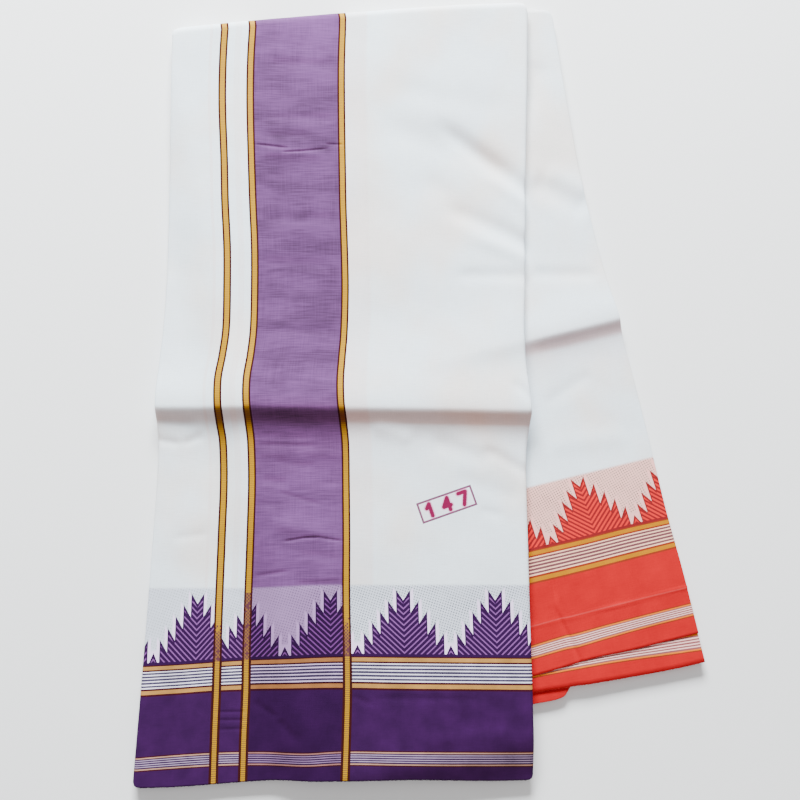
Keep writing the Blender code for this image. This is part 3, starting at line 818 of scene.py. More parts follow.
def back_cloth_place(across, down, routes=BACK_ROUTES, slip=0.0):
    """Cloth coordinates of a place on the back flap, which may have slipped down."""
    rows = [row._replace(**{name: -getattr(row, name) for name in BORDER_LINES}) for row in routes]
    up = between(slip - down, rows, BORDER_LINES, across, BACK_BORDER)
    return across, up, back_chart(across, down)


def back_chart(across, down):
    """The same count of towers on the back flap, where they lean."""
    leaned = across - BACK_TOWER_LEAN * np.maximum(BACK_TOWER_BASE - down, 0.0)
    return (leaned - BACK_TOWER_MIDDLE) / BACK_TOWER_PERIOD


def crease_shade(surface, x, y, below, strength):
    """Painted shade of the folds, for the cloth's colour: where a place faces away from the window, and
    below a long crest.
    """
    rise = (surface(x, y + SHADE_STEP) - surface(x, y - SHADE_STEP)) / (2.0 * SHADE_STEP)
    facing = SHADE_SHARE * ease((rise - SHADE_FROM) / SHADE_RUN)
    wide = np.where(below < FOLD_SHADE_PEAK, FOLD_SHADE_STEEP, FOLD_SHADE_SHARP)
    steep = np.exp(-((below - FOLD_SHADE_PEAK) / wide) ** 2)
    long = FOLD_SHADE_SHARE * ease(below / FOLD_SHADE_START) * np.exp(-(below / FOLD_SHADE_LONG) ** 2)
    return np.clip(facing + strength * np.maximum(steep, long), 0.0, 1.0)


def fine_spans(creases, axis):
    """Where fine creases run along an axis, with the step that each needs."""
    spans = []
    for row in creases:
        run = abs(row.end_x - row.x), abs(row.end_y - row.y)
        if row.width < FINE_CREASE and run[axis] <= run[1 - axis]:
            low, high = sorted((row[axis], row[axis + 2]))
            spans.append((low - row.width, high + row.width, row.width * FINE_SHARE))
    return spans


def spread(start, end, wide, spans):
    """Places from start to end, close together in the spans and wide apart elsewhere."""
    places = [start]
    while places[-1] < end:
        step = wide
        for low, high, close in spans:
            away = max(low - places[-1], places[-1] - high, 0.0)
            step = min(step, close + away * SPREAD_EASE)
        places.append(places[-1] + step)
    stretch = (end - start) / (places[-1] - start)
    return np.array([start + (place - start) * stretch for place in places])


def to_row_frame(x, y, z):
    return np.stack([x - PACK_MIDDLE[0], y - PACK_MIDDLE[1], z], axis=-1)


def grid_normals(points):
    """Unit normals of a grid of points, rows by columns."""
    along = np.gradient(points, axis=1)
    up = np.gradient(points, axis=0)
    normal = np.cross(along, up)
    return normal / np.maximum(np.linalg.norm(normal, axis=-1, keepdims=True), TINY)


def perimeter(rows, columns):
    """Grid indices round the edge of a grid, anticlockwise from the first point."""
    index = np.arange(rows * columns).reshape(rows, columns)
    return np.concatenate([index[0, :-1], index[:-1, -1], index[-1, :0:-1], index[:0:-1, 0]])


def grid_quads(rows, columns):
    index = np.arange(rows * columns).reshape(rows, columns)
    corners = index[:-1, :-1], index[:-1, 1:], index[1:, 1:], index[1:, :-1]
    return np.stack(corners, axis=-1).reshape(-1, 4)


def add_map(mesh, name, values):
    """Write a UV map from one pair of numbers for each point."""
    corners = np.zeros(len(mesh.loops), dtype=np.int32)
    mesh.loops.foreach_get("vertex_index", corners)
    layer = mesh.uv_layers.new(name=name)
    layer.uv.foreach_set("vector", values[corners].astype(np.float32).ravel())


def add_mesh(name, points, faces, material):
    mesh = bpy.data.meshes.new(name)
    mesh.from_pydata(points.tolist(), [], faces.tolist())
    mesh.validate()
    mesh.shade_smooth()
    mesh.materials.append(material)
    piece = bpy.data.objects.new(name, mesh)
    bpy.context.scene.collection.objects.link(piece)
    return piece


def build_sheet(name, points, cloth, material):
    """A closed thin sheet from a grid of points on its outer side, with a rounded edge all round.

    Cloth holds the place across, the place up, the count of towers and the painted shade of the folds."""
    rows, columns = points.shape[:2]
    normal = grid_normals(points)
    if normal[:, :, 2].mean() < 0.0:
        points, cloth = points[:, ::-1], cloth[:, ::-1]
        normal = grid_normals(points)
    inner = points - normal * SHEET_THICKNESS
    middle = points - normal * SHEET_THICKNESS / 2.0
    ring = perimeter(rows, columns)
    flat_middle = middle.reshape(-1, 3)[ring]
    outward = np.roll(flat_middle, -1, axis=0) - np.roll(flat_middle, 1, axis=0)
    outward = np.cross(outward, normal.reshape(-1, 3)[ring])
    outward /= np.maximum(np.linalg.norm(outward, axis=1, keepdims=True), TINY)
    bulged = flat_middle + outward * EDGE_BULGE
    count = rows * columns
    every = np.concatenate([points.reshape(-1, 3), inner.reshape(-1, 3), bulged])
    quads = grid_quads(rows, columns)
    after = np.roll(ring, -1)
    edge = 2 * count + np.arange(len(ring))
    edge_after = np.roll(edge, -1)
    upper_rim = np.stack([ring, edge, edge_after, after], axis=1)
    lower_rim = np.stack([edge, ring + count, after + count, edge_after], axis=1)
    faces = np.concatenate([quads, quads[:, ::-1] + count, upper_rim, lower_rim])
    piece = add_mesh(name, every, faces, material)
    pick = np.concatenate([np.arange(count), np.arange(count), ring])
    flat_cloth = cloth.reshape(-1, 4)[pick]
    add_map(piece.data, "cloth", flat_cloth[:, :2])
    add_map(piece.data, "chart", flat_cloth[:, 2:])
    add_bake_map(piece.data, rows, columns, points)
    return piece


def lengths_along(points):
    """Distance from the first of a row of points to each of them."""
    steps = np.linalg.norm(np.diff(points, axis=0), axis=1)
    return np.concatenate([[0.0], np.cumsum(steps)])


def add_bake_map(mesh, rows, columns, points):
    """A UV map for baking: outer side, inner side and rim beside each other, none on another."""
    wide, tall = lengths_along(points[rows // 2]), lengths_along(points[:, columns // 2])
    scale = min(BAKE_SCALE, (BAKE_RIM - 2.0 * BAKE_MARGIN - BAKE_INNER) / wide[-1], BAKE_TALLEST / tall[-1])
    across, up = np.meshgrid(wide * scale + BAKE_MARGIN, tall * scale + BAKE_MARGIN)
    count = rows * columns
    side = np.stack([across.ravel(), up.ravel()], axis=1)
    corners = np.zeros(len(mesh.loops), dtype=np.int32)
    mesh.loops.foreach_get("vertex_index", corners)
    quads = (rows - 1) * (columns - 1)
    layer = mesh.uv_layers.new(name="OFBake")
    found = np.zeros((len(corners), 2))
    outer, under = slice(0, quads * 4), slice(quads * 4, quads * 8)
    found[outer] = side[corners[outer]]
    found[under] = side[corners[under] - count] + np.array([BAKE_INNER - BAKE_MARGIN, 0.0])
    ring = 2 * (rows + columns) - 4
    start = np.repeat(np.arange(ring), 4).reshape(-1, 4)
    strip = np.stack([start, start], axis=-1).astype(float)
    width = (1.0 - BAKE_RIM) / 3.0
    upper = np.array([[0.0, 0.0], [width, 0.0], [width, 1.0], [0.0, 1.0]])
    lower = np.array([[width, 0.0], [2.0 * width, 0.0], [2.0 * width, 1.0], [width, 1.0]])
    for number, shape in enumerate((upper, lower)):
        rim = np.zeros((ring, 4, 2))
        rim[:, :, 0] = BAKE_RIM + shape[:, 0]
        rim[:, :, 1] = BAKE_MARGIN + (strip[:, :, 1] + shape[:, 1]) / ring * (1.0 - 2.0 * BAKE_MARGIN)
        begin = quads * 8 + number * ring * 4
        found[begin:begin + ring * 4] = rim.reshape(-1, 2)
    layer.uv.foreach_set("vector", found.astype(np.float32).ravel())


def loop_levels(count):
    """Heights and depths of the points round a stack of folds, as shares from bottom to top."""
    levels = []
    for fold in range(count):
        for place in LOOP_POINTS:
            depth = 1.0 - math.sqrt(1.0 - place ** 2)
            levels.append(((fold + 0.5 + 0.5 * place) / count, depth, fold))
    return levels


def stray(generator, count, along, amount):
    """A slow wander along an edge for each fold, from 0 to twice the amount."""
    rows = []
    for _ in range(count):
        total = np.zeros_like(along)
        for length, share in STRAY_WAVES:
            total += share * np.sin(math.tau * (along / length + generator.random()))
        rows.append(amount * (1.0 + total) * (STRAY_LEAST + (1.0 - STRAY_LEAST) * generator.random()))
    return np.array(rows)


def build_pile(name, shares, rows, loops, place, cloth_place, material, seed):
    """Hidden layers as one closed solid: a bottom, a top, and the rounded edge of each fold between."""
    generator = np.random.default_rng(seed)
    grid_share, grid_row = np.meshgrid(shares, rows)
    ring = perimeter(len(rows), len(shares))
    share, row = grid_share.ravel()[ring], grid_row.ravel()[ring]
    side_stray = stray(generator, loops, row + share, LOOP_STRAY)
    end_stray = stray(generator, loops, share * PANEL_WIDTH, END_STRAY)
    levels = loop_levels(loops)
    layers = []
    for number, (height, depth, fold) in enumerate(levels):
        side_in = side_stray[fold] + LOOP_DEPTH * depth
        low_in = end_stray[fold] + LOOP_DEPTH * depth
        if number in (0, len(levels) - 1):
            whole = np.full(grid_share.size, side_in.mean()), np.full(grid_share.size, low_in.mean())
            whole[0][ring], whole[1][ring] = side_in, low_in
            layers.append(place(grid_share.ravel(), grid_row.ravel(), height, *whole))
        else:
            layers.append(place(share, row, height, side_in, low_in))
    bottom, top, rings = layers[0], layers[-1], layers[1:-1]
    count, around = len(bottom[0]), len(ring)
    every = [np.stack(part, axis=1) for part in (bottom, top, *rings)]
    points = np.concatenate(every)
    quads = grid_quads(len(rows), len(shares))
    middle_loops = [2 * count + around * k + np.arange(around) for k in range(len(rings))]
    loops_at = [ring, *middle_loops, ring + count]
    walls = [np.stack([low, np.roll(low, -1), np.roll(high, -1), high], axis=1)
             for low, high in zip(loops_at[:-1], loops_at[1:])]
    faces = np.concatenate([quads[:, ::-1], quads + count, *walls])
    across, up, chart = cloth_place(points[:, 0], points[:, 1])
    piece = add_mesh(name, to_row_frame(*points.T), faces, material)
    point_outwards(piece.data)
    add_map(piece.data, "cloth", np.stack([across, up], axis=1))
    add_map(piece.data, "chart", np.stack([chart, np.zeros(len(points))], axis=1))
    return piece


def point_outwards(mesh):
    work = bmesh.new()
    work.from_mesh(mesh)
    bmesh.ops.recalc_face_normals(work, faces=work.faces)
    work.to_mesh(mesh)
    work.free()


def finish_piece(piece, node):
    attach(piece, "root")
    if node:
        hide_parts(node)
    return piece


class Wire:
    """A value in a node tree. Sums, products and comparisons of wires add the nodes for them."""

    def __init__(self, nodes, socket):
        self.nodes = nodes
        self.socket = socket

    def __add__(self, other):
        return self.nodes.math('ADD', self, other)

    def __sub__(self, other):
        return self.nodes.math('SUBTRACT', self, other)

    def __rsub__(self, other):
        return self.nodes.math('SUBTRACT', other, self)

    def __mul__(self, other):
        return self.nodes.math('MULTIPLY', self, other)

    def __truediv__(self, other):
        return self.nodes.math('DIVIDE', self, other)

    def __gt__(self, other):
        return self.nodes.math('GREATER_THAN', self, other)

    def __lt__(self, other):
        return self.nodes.math('LESS_THAN', self, other)

    def __abs__(self):
        return self.nodes.math('ABSOLUTE', self)


class Nodes:
    """Short ways to add and join nodes in one tree."""

    def __init__(self, tree):
        self.tree = tree

    def add(self, kind, inputs=(), **settings):
        """A new node, with its inputs given as pairs of a place or name and a value."""
        node = self.tree.nodes.new(kind)
        for key, value in settings.items():
            setattr(node, key, value)
        for key, value in inputs:
            self.put(node.inputs[key], value)
        return node

    def put(self, socket, value):
        if isinstance(value, Wire):
            self.tree.links.new(value.socket, socket)
        elif socket.type == 'RGBA':
            socket.default_value = (*value, 1.0)
        else:
            socket.default_value = value

    def wire(self, kind, inputs=(), output=0, **settings):
        return Wire(self, self.add(kind, inputs, **settings).outputs[output])

    def math(self, operation, *values, clamp=False):
        return self.wire("ShaderNodeMath", enumerate(values), operation=operation, use_clamp=clamp)

    def most(self, first, second):
        return self.math('MAXIMUM', first, second)

    def least(self, first, second):
        return self.math('MINIMUM', first, second)

    def fract(self, value):
        return self.math('FRACT', value)

    def soft_step(self, value, low, high):
        inputs = ("Value", value), ("From Min", low), ("From Max", high)
        return self.wire("ShaderNodeMapRange", inputs, "Result", interpolation_type='SMOOTHSTEP')

    def vector(self, operation, *values, output=0):
        return self.wire("ShaderNodeVectorMath", enumerate(values), output, operation=operation)

    def scaled(self, vector, factor):
        return self.wire("ShaderNodeVectorMath", ((0, vector), ("Scale", factor)), operation='SCALE')

    def dot(self, first, second):
        return self.vector('DOT_PRODUCT', first, second, output="Value")

    def length(self, vector):
        return self.vector('LENGTH', vector, output="Value")

    def turned(self, vector, angle):
        inputs = ("Vector", vector), ("Angle", angle)
        return self.wire("ShaderNodeVectorRotate", inputs, rotation_type='Z_AXIS')

    def parts(self, vector):
        node = self.add("ShaderNodeSeparateXYZ", [(0, vector)])
        return [Wire(self, socket) for socket in node.outputs]

    def joined(self, x=0.0, y=0.0, z=0.0):
        return self.wire("ShaderNodeCombineXYZ", enumerate((x, y, z)))

    def mix(self, share, first, second):
        return self.wire("ShaderNodeMix", ((0, share), (6, first), (7, second)), 2, data_type='RGBA')

    def times(self, colour, shade):
        inputs = (0, 1.0), (6, colour), (7, shade)
        return self.wire("ShaderNodeMix", inputs, 2, data_type='RGBA', blend_type='MULTIPLY')

    def shaded(self, colour, shade):
        return self.times(colour, self.joined(shade, shade, shade))

    def noise(self, vector, scale, detail=2.0):
        inputs = ("Vector", vector), ("Scale", scale), ("Detail", detail)
        return self.wire("ShaderNodeTexNoise", inputs, "Fac")

    def streaks(self, x, y, row):
        """Noise that is drawn out along the threads."""
        return self.noise(self.joined(x * row.across, y * row.up, row.shift), 1.0, row.detail)

    def group(self, tree, **values):
        inputs = [(name.title(), value) for name, value in values.items()]
        return self.outputs(self.add("ShaderNodeGroup", inputs, node_tree=tree))

    def outputs(self, node):
        return {socket.name: Wire(self, socket) for socket in node.outputs}


def new_group(name, inputs, outputs):
    """An empty shader group with its sockets, its node helper, and its input and output nodes."""
    tree = bpy.data.node_groups.new(name, "ShaderNodeTree")
    for label, kind, default in inputs:
        socket = tree.interface.new_socket(name=label, in_out='INPUT', socket_type="NodeSocket" + kind)
        if default is not None:
            socket.default_value = default
    for label in outputs:
        tree.interface.new_socket(name=label, in_out='OUTPUT', socket_type="NodeSocketFloat")
    n = Nodes(tree)
    return tree, n, n.outputs(n.add("NodeGroupInput")), n.add("NodeGroupOutput").inputs


def weave_group():
    """Plain weave: crossing threads, with thick and thin places along the weft and the warp."""
    inputs = ("Place", "Vector", None), ("Thread", "Float", None)
    tree, n, given, made = new_group("Plain weave", inputs, ("Shade", "Height"))
    x, y, _ = n.parts(given["Place"])
    waves_x, waves_y = [n.math('SINE', side / given["Thread"] * math.pi) for side in (x, y)]
    uneven = n.streaks(x, y, WEFT) * WEFT_SHARE + n.streaks(x, y, WARP) * (1.0 - WEFT_SHARE)
    cloud = (n.streaks(x, y, CLOUD) - 0.5) * CLOUD_SHARE
    n.put(made["Shade"], uneven - 0.5 + cloud)
    n.put(made["Height"], abs(waves_x * waves_y) * THREAD_RELIEF + uneven)
    return tree


def tower_group():
    """A temple tower of a border: notched column, steps, pyramid between, and chevron lines inside."""
    inputs = (("Chart", "Float", None), ("Up", "Float", None), ("Wider", "Float", None),
              ("Light", "Float", CHEVRON_LIGHT))
    tree, n, given, made = new_group("Temple tower", inputs, ("Top", "Line"))
    half, up = TOWER_PERIOD / 2.0, given["Up"]
    run = n.math('PINGPONG', given["Chart"] * TOWER_PERIOD, half)
    away = n.most(run - given["Wider"], 0.0)
    past = (away - COLUMN_HALF) / STEP_WIDE
    step = n.least(n.most(n.math('CEIL', past), 0.0), float(STEP_COUNT))
    share = past - step + 1.0
    tip = step * -STEP_DROP + TOWER_TIP
    in_steps = away < COLUMN_HALF + STEP_WIDE * STEP_COUNT
    from_pyramid = n.most(half - run - given["Wider"], 0.0)
    pyramid_top = from_pyramid * (-PYRAMID_TALL / PYRAMID_HALF) + PYRAMID_TALL
    top = n.most(((share - 1.0) * STEP_FALL + tip) * in_steps, pyramid_top)
    rising = away * -CHEVRON_SLOPE + up
    falling = from_pyramid * CHEVRON_SLOPE + (up - PYRAMID_LIFT)
    count = (falling + (rising - falling) * in_steps) / CHEVRON_PITCH
    light = n.fract(count + (CELLS_BELOW + CHEVRON_START)) < given["Light"]
    under = (top - up) > CHEVRON_EDGE
    body = up < (tip - (STEP_DROP + STEP_FALL))
    off_edge = n.most(share < 1.0 - CHEVRON_MARGIN / STEP_WIDE, body)
    off_edge = n.most(off_edge, 1.0 - in_steps)
    n.put(made["Top"], top)
    n.put(made["Line"], light * under * off_edge * (up > BASE_LINE))
    return tree


def dots_group():
    """Small dots on a turned lattice."""
    tree, n, given, made = new_group("Ground dots", [("Place", "Vector", None)], ["Dots"])
    x, y, _ = n.parts(n.scaled(n.turned(given["Place"], DOT_TURN), 1.0 / DOT_PITCH))
    offsets = [n.fract(side + CELLS_BELOW) - 0.5 for side in (x, y)]
    n.put(made["Dots"], n.length(n.joined(*offsets)) < DOT_RADIUS)
    return tree


def stroke_group():
    """Distance from a pen stroke with round ends."""
    inputs = [(name, "Vector", None) for name in ("Place", "Start", "Run")]
    tree, n, given, made = new_group("Pen stroke", inputs, ["Distance"])
    offset, run = n.vector('SUBTRACT', given["Place"], given["Start"]), given["Run"]
    share = n.math('DIVIDE', n.dot(offset, run), n.dot(run, run), clamp=True)
    n.put(made["Distance"], n.length(n.vector('SUBTRACT', offset, n.scaled(run, share))))
    return tree


def shared_group(name, build):
    return bpy.data.node_groups.get(name) or build()


def band_ramp(n, value, bands, span, colours):
    """Colours of a border's bands over the distance from its selvedge."""
    low, high = span
    ramp = n.add("ShaderNodeValToRGB", [(0, (value - low) / (high - low))])
    ramp.color_ramp.interpolation = 'CONSTANT'
    elements = ramp.color_ramp.elements
    while len(elements) > 1:
        elements.remove(elements[-1])
    for number, band in enumerate(bands):
        place = max((band.start - low) / (high - low), 0.0)
        element = elements[0] if number == 0 else elements.new(place)
        element.position = place
        element.color = (*colours[band.colour], 1.0)
    return Wire(n, ramp.outputs["Color"])


def stripe_masks(n, across, up, above_base):
    """Where the three golden stripes, their dark edge threads and their dark specks show."""
    middles = CLOTH_FIRST, CLOTH_SECOND, CLOTH_THIRD
    first, second, third = [abs(across - middle * 1000.0) for middle in middles]
    away = n.least(n.least(first, second), third)
    in_border = above_base < 0.0
    gold = (in_border * STRIPE_NARROWER + away) < STRIPE_GOLD
    edge = (in_border * -STRIPE_WIDER + away) < STRIPE_EDGE
    tick = n.fract(up / TICK_PITCH) < TICK_SHARE
    column, row = n.math('FLOOR', across / SPECKLE[0]), n.math('FLOOR', up / SPECKLE[1])
    cell = [("Vector", n.joined(column, row))]
    dice = n.wire("ShaderNodeTexWhiteNoise", cell, "Value", noise_dimensions='2D')
    in_towers = (above_base > 0.0) * (above_base < TOWER_TIP)
    low = 1.0 - n.soft_step(above_base, *SPECKLE_FADE)
    amount = in_towers * n.most(low, second < STRIPE_EDGE)
    checker = n.fract((column + row) * 0.5) > 0.25
    chance = checker * SPECKLE_ORDER + dice * (1.0 - SPECKLE_ORDER)
    speck = chance < amount * SPECKLE_SHARE
    ticked = tick * (in_border * TICK_IN_BORDER + TICK_ABOVE)
    return gold, edge, n.most(ticked, n.most(speck * SPECKLE_DARK, amount * SPECKLE_GROUND))


def lilac_cotton(n, across, up, colours):
    """The lilac band: fine uneven threads both ways, darker in the middle of its height."""
    tones = [n.soft_step(n.streaks(across, up, row), row.low, row.high) * row.share for row in LILAC_TONES]
    mixed = (tones[0] + tones[1] + tones[2]) * LILAC_MIX
    lighter_ends = n.most(n.soft_step(up, *LILAC_LIFT_TOP), 1.0 - n.soft_step(up, *LILAC_LIFT_BOTTOM))
    share = n.math('ADD', lighter_ends * LILAC_ENDS_LIFT, mixed, clamp=True)
    return n.mix(share, colours.lilac_dark, colours.lilac_light)


def seen_through(n, across):
    total = None
    for row in SEEN_THROUGH:
        soft = n.soft_step(abs(across - row.middle), row.half * SEEN_CORE, row.half)
        here = (1.0 - soft) * row.strength
        total = total + here if total else here
    return total


def mark_masks(n):
    """Frame line, halo and ink of the plain size mark, from Object coordinates."""
    place = n.wire("ShaderNodeTexCoord", output="Object")
    middle = (MARK_MIDDLE[0] - PACK_MIDDLE[0], MARK_MIDDLE[1] - PACK_MIDDLE[1], 0.0)
    place = n.scaled(n.turned(n.vector('SUBTRACT', place, middle), -MARK_TURN), 1000.0)
    x, y, _ = n.parts(place)
    flat = n.joined(x, y)
    reach = n.most(abs(x) - MARK_SIZE[0] / 2.0, abs(y) - MARK_SIZE[1] / 2.0)
    pen, wide, tall = shared_group("Pen stroke", stroke_group), *DIGIT_SIZE
    distance = None
    for row in MARK_STROKES:
        start = (row.digit * DIGIT_APART + row.x * wide, row.y * tall, 0.0)
        run = ((row.end_x - row.x) * wide, (row.end_y - row.y) * tall, 0.0)
        away = n.group(pen, place=flat, start=start, run=run)["Distance"]
        distance = n.least(distance, away) if distance else away
    edge = distance + (n.noise(flat, MARK_GRAIN) - 0.5) * MARK_ROUGH
    halo = 1.0 - n.soft_step(edge, MARK_PEN, MARK_PEN + MARK_HALO)
    return abs(reach) < MARK_FRAME, n.most(halo, (reach < 0.0) * MARK_WASH), edge < MARK_PEN


def fold_highlight(n, across, up):
    """Painted highlight: a pale line in the orange band's colour along the ridge of a fold."""
    away = abs(across * -FOLD_HIGHLIGHT_LEAN + up - FOLD_HIGHLIGHT_UP)
    return (1.0 - n.soft_step(away, FOLD_HIGHLIGHT_CORE, FOLD_HIGHLIGHT_WIDE)) * FOLD_HIGHLIGHT_SHARE


BORDER_COLOURS = ("deep", "tower", "chevron", "edging", "gold", "pale_gold", "lined", "line",
                  "hem_lined", "hem_line", "ground", "halo", "fold")
PLAIN = (1.0, 1.0, 1.0)


def cloth_material(name, colours, sizes, orange=False, stripes=False, mark=False):
    """Dhoti cotton: white ground and a temple border, with end bands and a size mark where asked."""
    material = bpy.data.materials.new(name)
    material.use_nodes = True
    material.node_tree.nodes.clear()
    n = Nodes(material.node_tree)
    kind = "orange_" if orange else "purple_"
    palette = {part: getattr(colours, kind + part) for part in BORDER_COLOURS}
    place = n.scaled(n.wire("ShaderNodeUVMap", uv_map="cloth"), 1000.0)
    across, up, _ = n.parts(place)
    # The chart map carries the tower count and the painted shade of the folds.
    chart, folded, _ = n.parts(n.wire("ShaderNodeUVMap", uv_map="chart"))
    above_base = up - BORDER.base * 1000.0

    veil = n.soft_step(n.streaks(across, up, VEIL), *VEIL_SPAN)
    white = n.mix(veil, colours.white, colours.warm_white)
    ground, halo = palette["ground"], palette["halo"]
    if stripes:
        in_band = (across > CLOTH_SECOND * 1000.0) * (across < CLOTH_THIRD * 1000.0)
        white = n.mix(seen_through(n, across), white, colours.seen_through)
        white = n.mix(in_band, white, lilac_cotton(n, across, up, colours))
        ground = n.mix(in_band, ground, colours.lilac_ground)
        halo = n.mix(in_band, halo, colours.lilac_halo)
        over_border = n.mix(in_band, PLAIN, colours.lilac_over_border)

    tower = shared_group("Temple tower", tower_group)
    drawn = n.group(tower, chart=chart, up=above_base, light=ORANGE_LIGHT if orange else CHEVRON_LIGHT)
    wide = n.group(tower, chart=chart, up=above_base, wider=DOT_MARGIN)
    dots = n.group(shared_group("Ground dots", dots_group), place=place)["Dots"]
    clear = n.soft_step(above_base - wide["Top"], 0.0, DOT_CLEAR)
    paler = n.mix(clear, halo, ground)
    uneven = n.math('MULTIPLY_ADD', n.streaks(across, up, DOTS_CLOUD), *DOTS_STRENGTH, clamp=True)
    if stripes:
        uneven = uneven * (n.soft_step(across, *DOTS_FADE) * (1.0 - DOTS_LEFT) + DOTS_LEFT)
    shown = dots * (clear > DOTS_FROM) * uneven
    dotted = n.mix(shown, paler, n.times(paler, colours.dot_shade))
    tower_colour = n.mix(drawn["Line"], palette["tower"], palette["chevron"])
    if stripes:
        tower_colour = n.times(tower_colour, over_border)
    inside = n.most(above_base < drawn["Top"], above_base < BASE_LINE)
    pictured = n.mix(inside, dotted, tower_colour)
    ground_top = (BACK_BORDER if orange else BORDER).ground * 1000.0
    upper = n.mix(n.soft_step(up, ground_top - GROUND_FADE, ground_top + GROUND_FADE), pictured, white)

    hem = band_ramp(n, up, HEM_BANDS, HEM_RANGE, palette)
    temple = band_ramp(n, up, TEMPLE_BANDS, TEMPLE_RANGE, palette)
    mottle = ORANGE_MOTTLE if orange else MOTTLE
    mottled = n.streaks(across, up, MOTTLE_CLOUD) * mottle + (1.0 - mottle / 2.0)
    lower = n.shaded(n.mix(up > RAMPS_MEET, hem, temple), mottled)
    if stripes:
        lower = n.times(lower, over_border)
    colour = n.mix(above_base > 0.0, lower, upper)
    # Painted highlight along a fold ridge of the orange band.
    if orange:
        colour = n.mix(fold_highlight(n, across, up), colour, palette["halo"])
    if stripes:
        gold, edge, dark = stripe_masks(n, across, up, above_base)
        colour = n.mix(edge, colour, colours.stripe_edge)
        colour = n.mix(gold, colour, n.mix(dark, colours.stripe_gold, colours.stripe_tick))
    if mark:
        for mask, share, tint in zip(mark_masks(n), MARK_SHARES, ("mark_frame", "mark_halo", "mark_ink")):
            colour = n.mix(mask * share, colour, getattr(colours, tint))

    weave = n.group(shared_group("Plain weave", weave_group), place=place, thread=sizes.thread * 1000.0)
    colour = n.shaded(colour, weave["Shade"] * sizes.slub_contrast + 1.0)
    # Painted shade of the folds: the colour is multiplied towards the fold tint; over the lilac, the purple
    # border and the stripes the painted shade is raised so that it reaches further.
    tint = palette["fold"]
    rough = weave["Shade"] * -WEAVE_SHINE + CLOTH_ROUGHNESS
    if stripes:
        coloured = n.most(in_band, above_base < 0.0)
        tint = n.mix(coloured, tint, colours.colour_fold)
        tint = n.mix(gold, tint, colours.stripe_fold)
        folded = folded + n.most(coloured, gold) * (n.math('POWER', folded, FOLD_SHADE_KEPT) - folded)
        rough = gold * -GOLD_SHINE + rough
    bump = n.wire("ShaderNodeBump", (("Height", weave["Height"]), ("Strength", WEAVE_BUMP),
                                     ("Distance", WEAVE_DEPTH)))
    inputs = (("Base Color", n.times(colour, n.mix(folded, PLAIN, tint))), ("Roughness", rough),
              ("Specular IOR Level", COTTON_SPECULAR), ("Normal", bump))
    n.add("ShaderNodeOutputMaterial", [("Surface", n.wire("ShaderNodeBsdfPrincipled", inputs))])
    return material


def thread_material(name, colour):
    """Twisted cotton thread of a selvedge."""
    material = bpy.data.materials.new(name)
    material.use_nodes = True
    n = Nodes(material.node_tree)
    shader = material.node_tree.nodes["Principled BSDF"]
    uneven = n.noise(n.scaled(n.wire("ShaderNodeTexCoord", output="Object"), 1000.0), THREAD_GRAIN)
    dark, light = [tuple(part * share for part in colour) for share in THREAD_TONES]
    n.put(shader.inputs["Base Color"], n.mix(uneven, dark, light))
    n.put(shader.inputs["Roughness"], uneven * THREAD_ROUGHNESS[0] + THREAD_ROUGHNESS[1])
    return material


class DhotiColours(bpy.types.PropertyGroup):
    """Colours of the cloth."""


class DhotiSizes(bpy.types.PropertyGroup):
    """Sizes of the cloth's threads and patterns."""

    thread: bpy.props.FloatProperty(
        name="Thread", description="Distance from thread to thread", default=0.00042,
        min=0.0001, max=0.002, precision=5, unit='LENGTH')
    slub_contrast: bpy.props.FloatProperty(
        name="Slub contrast", description="How much thick and thin threads change the colour",
        default=0.30, min=0.0, max=1.0, subtype='FACTOR')
    loop_spacing: bpy.props.FloatProperty(
        name="Selvedge loops", description="Distance between the weft's turns at a selvedge",
        default=0.0011, min=0.0005, max=0.01, precision=5, unit='LENGTH')


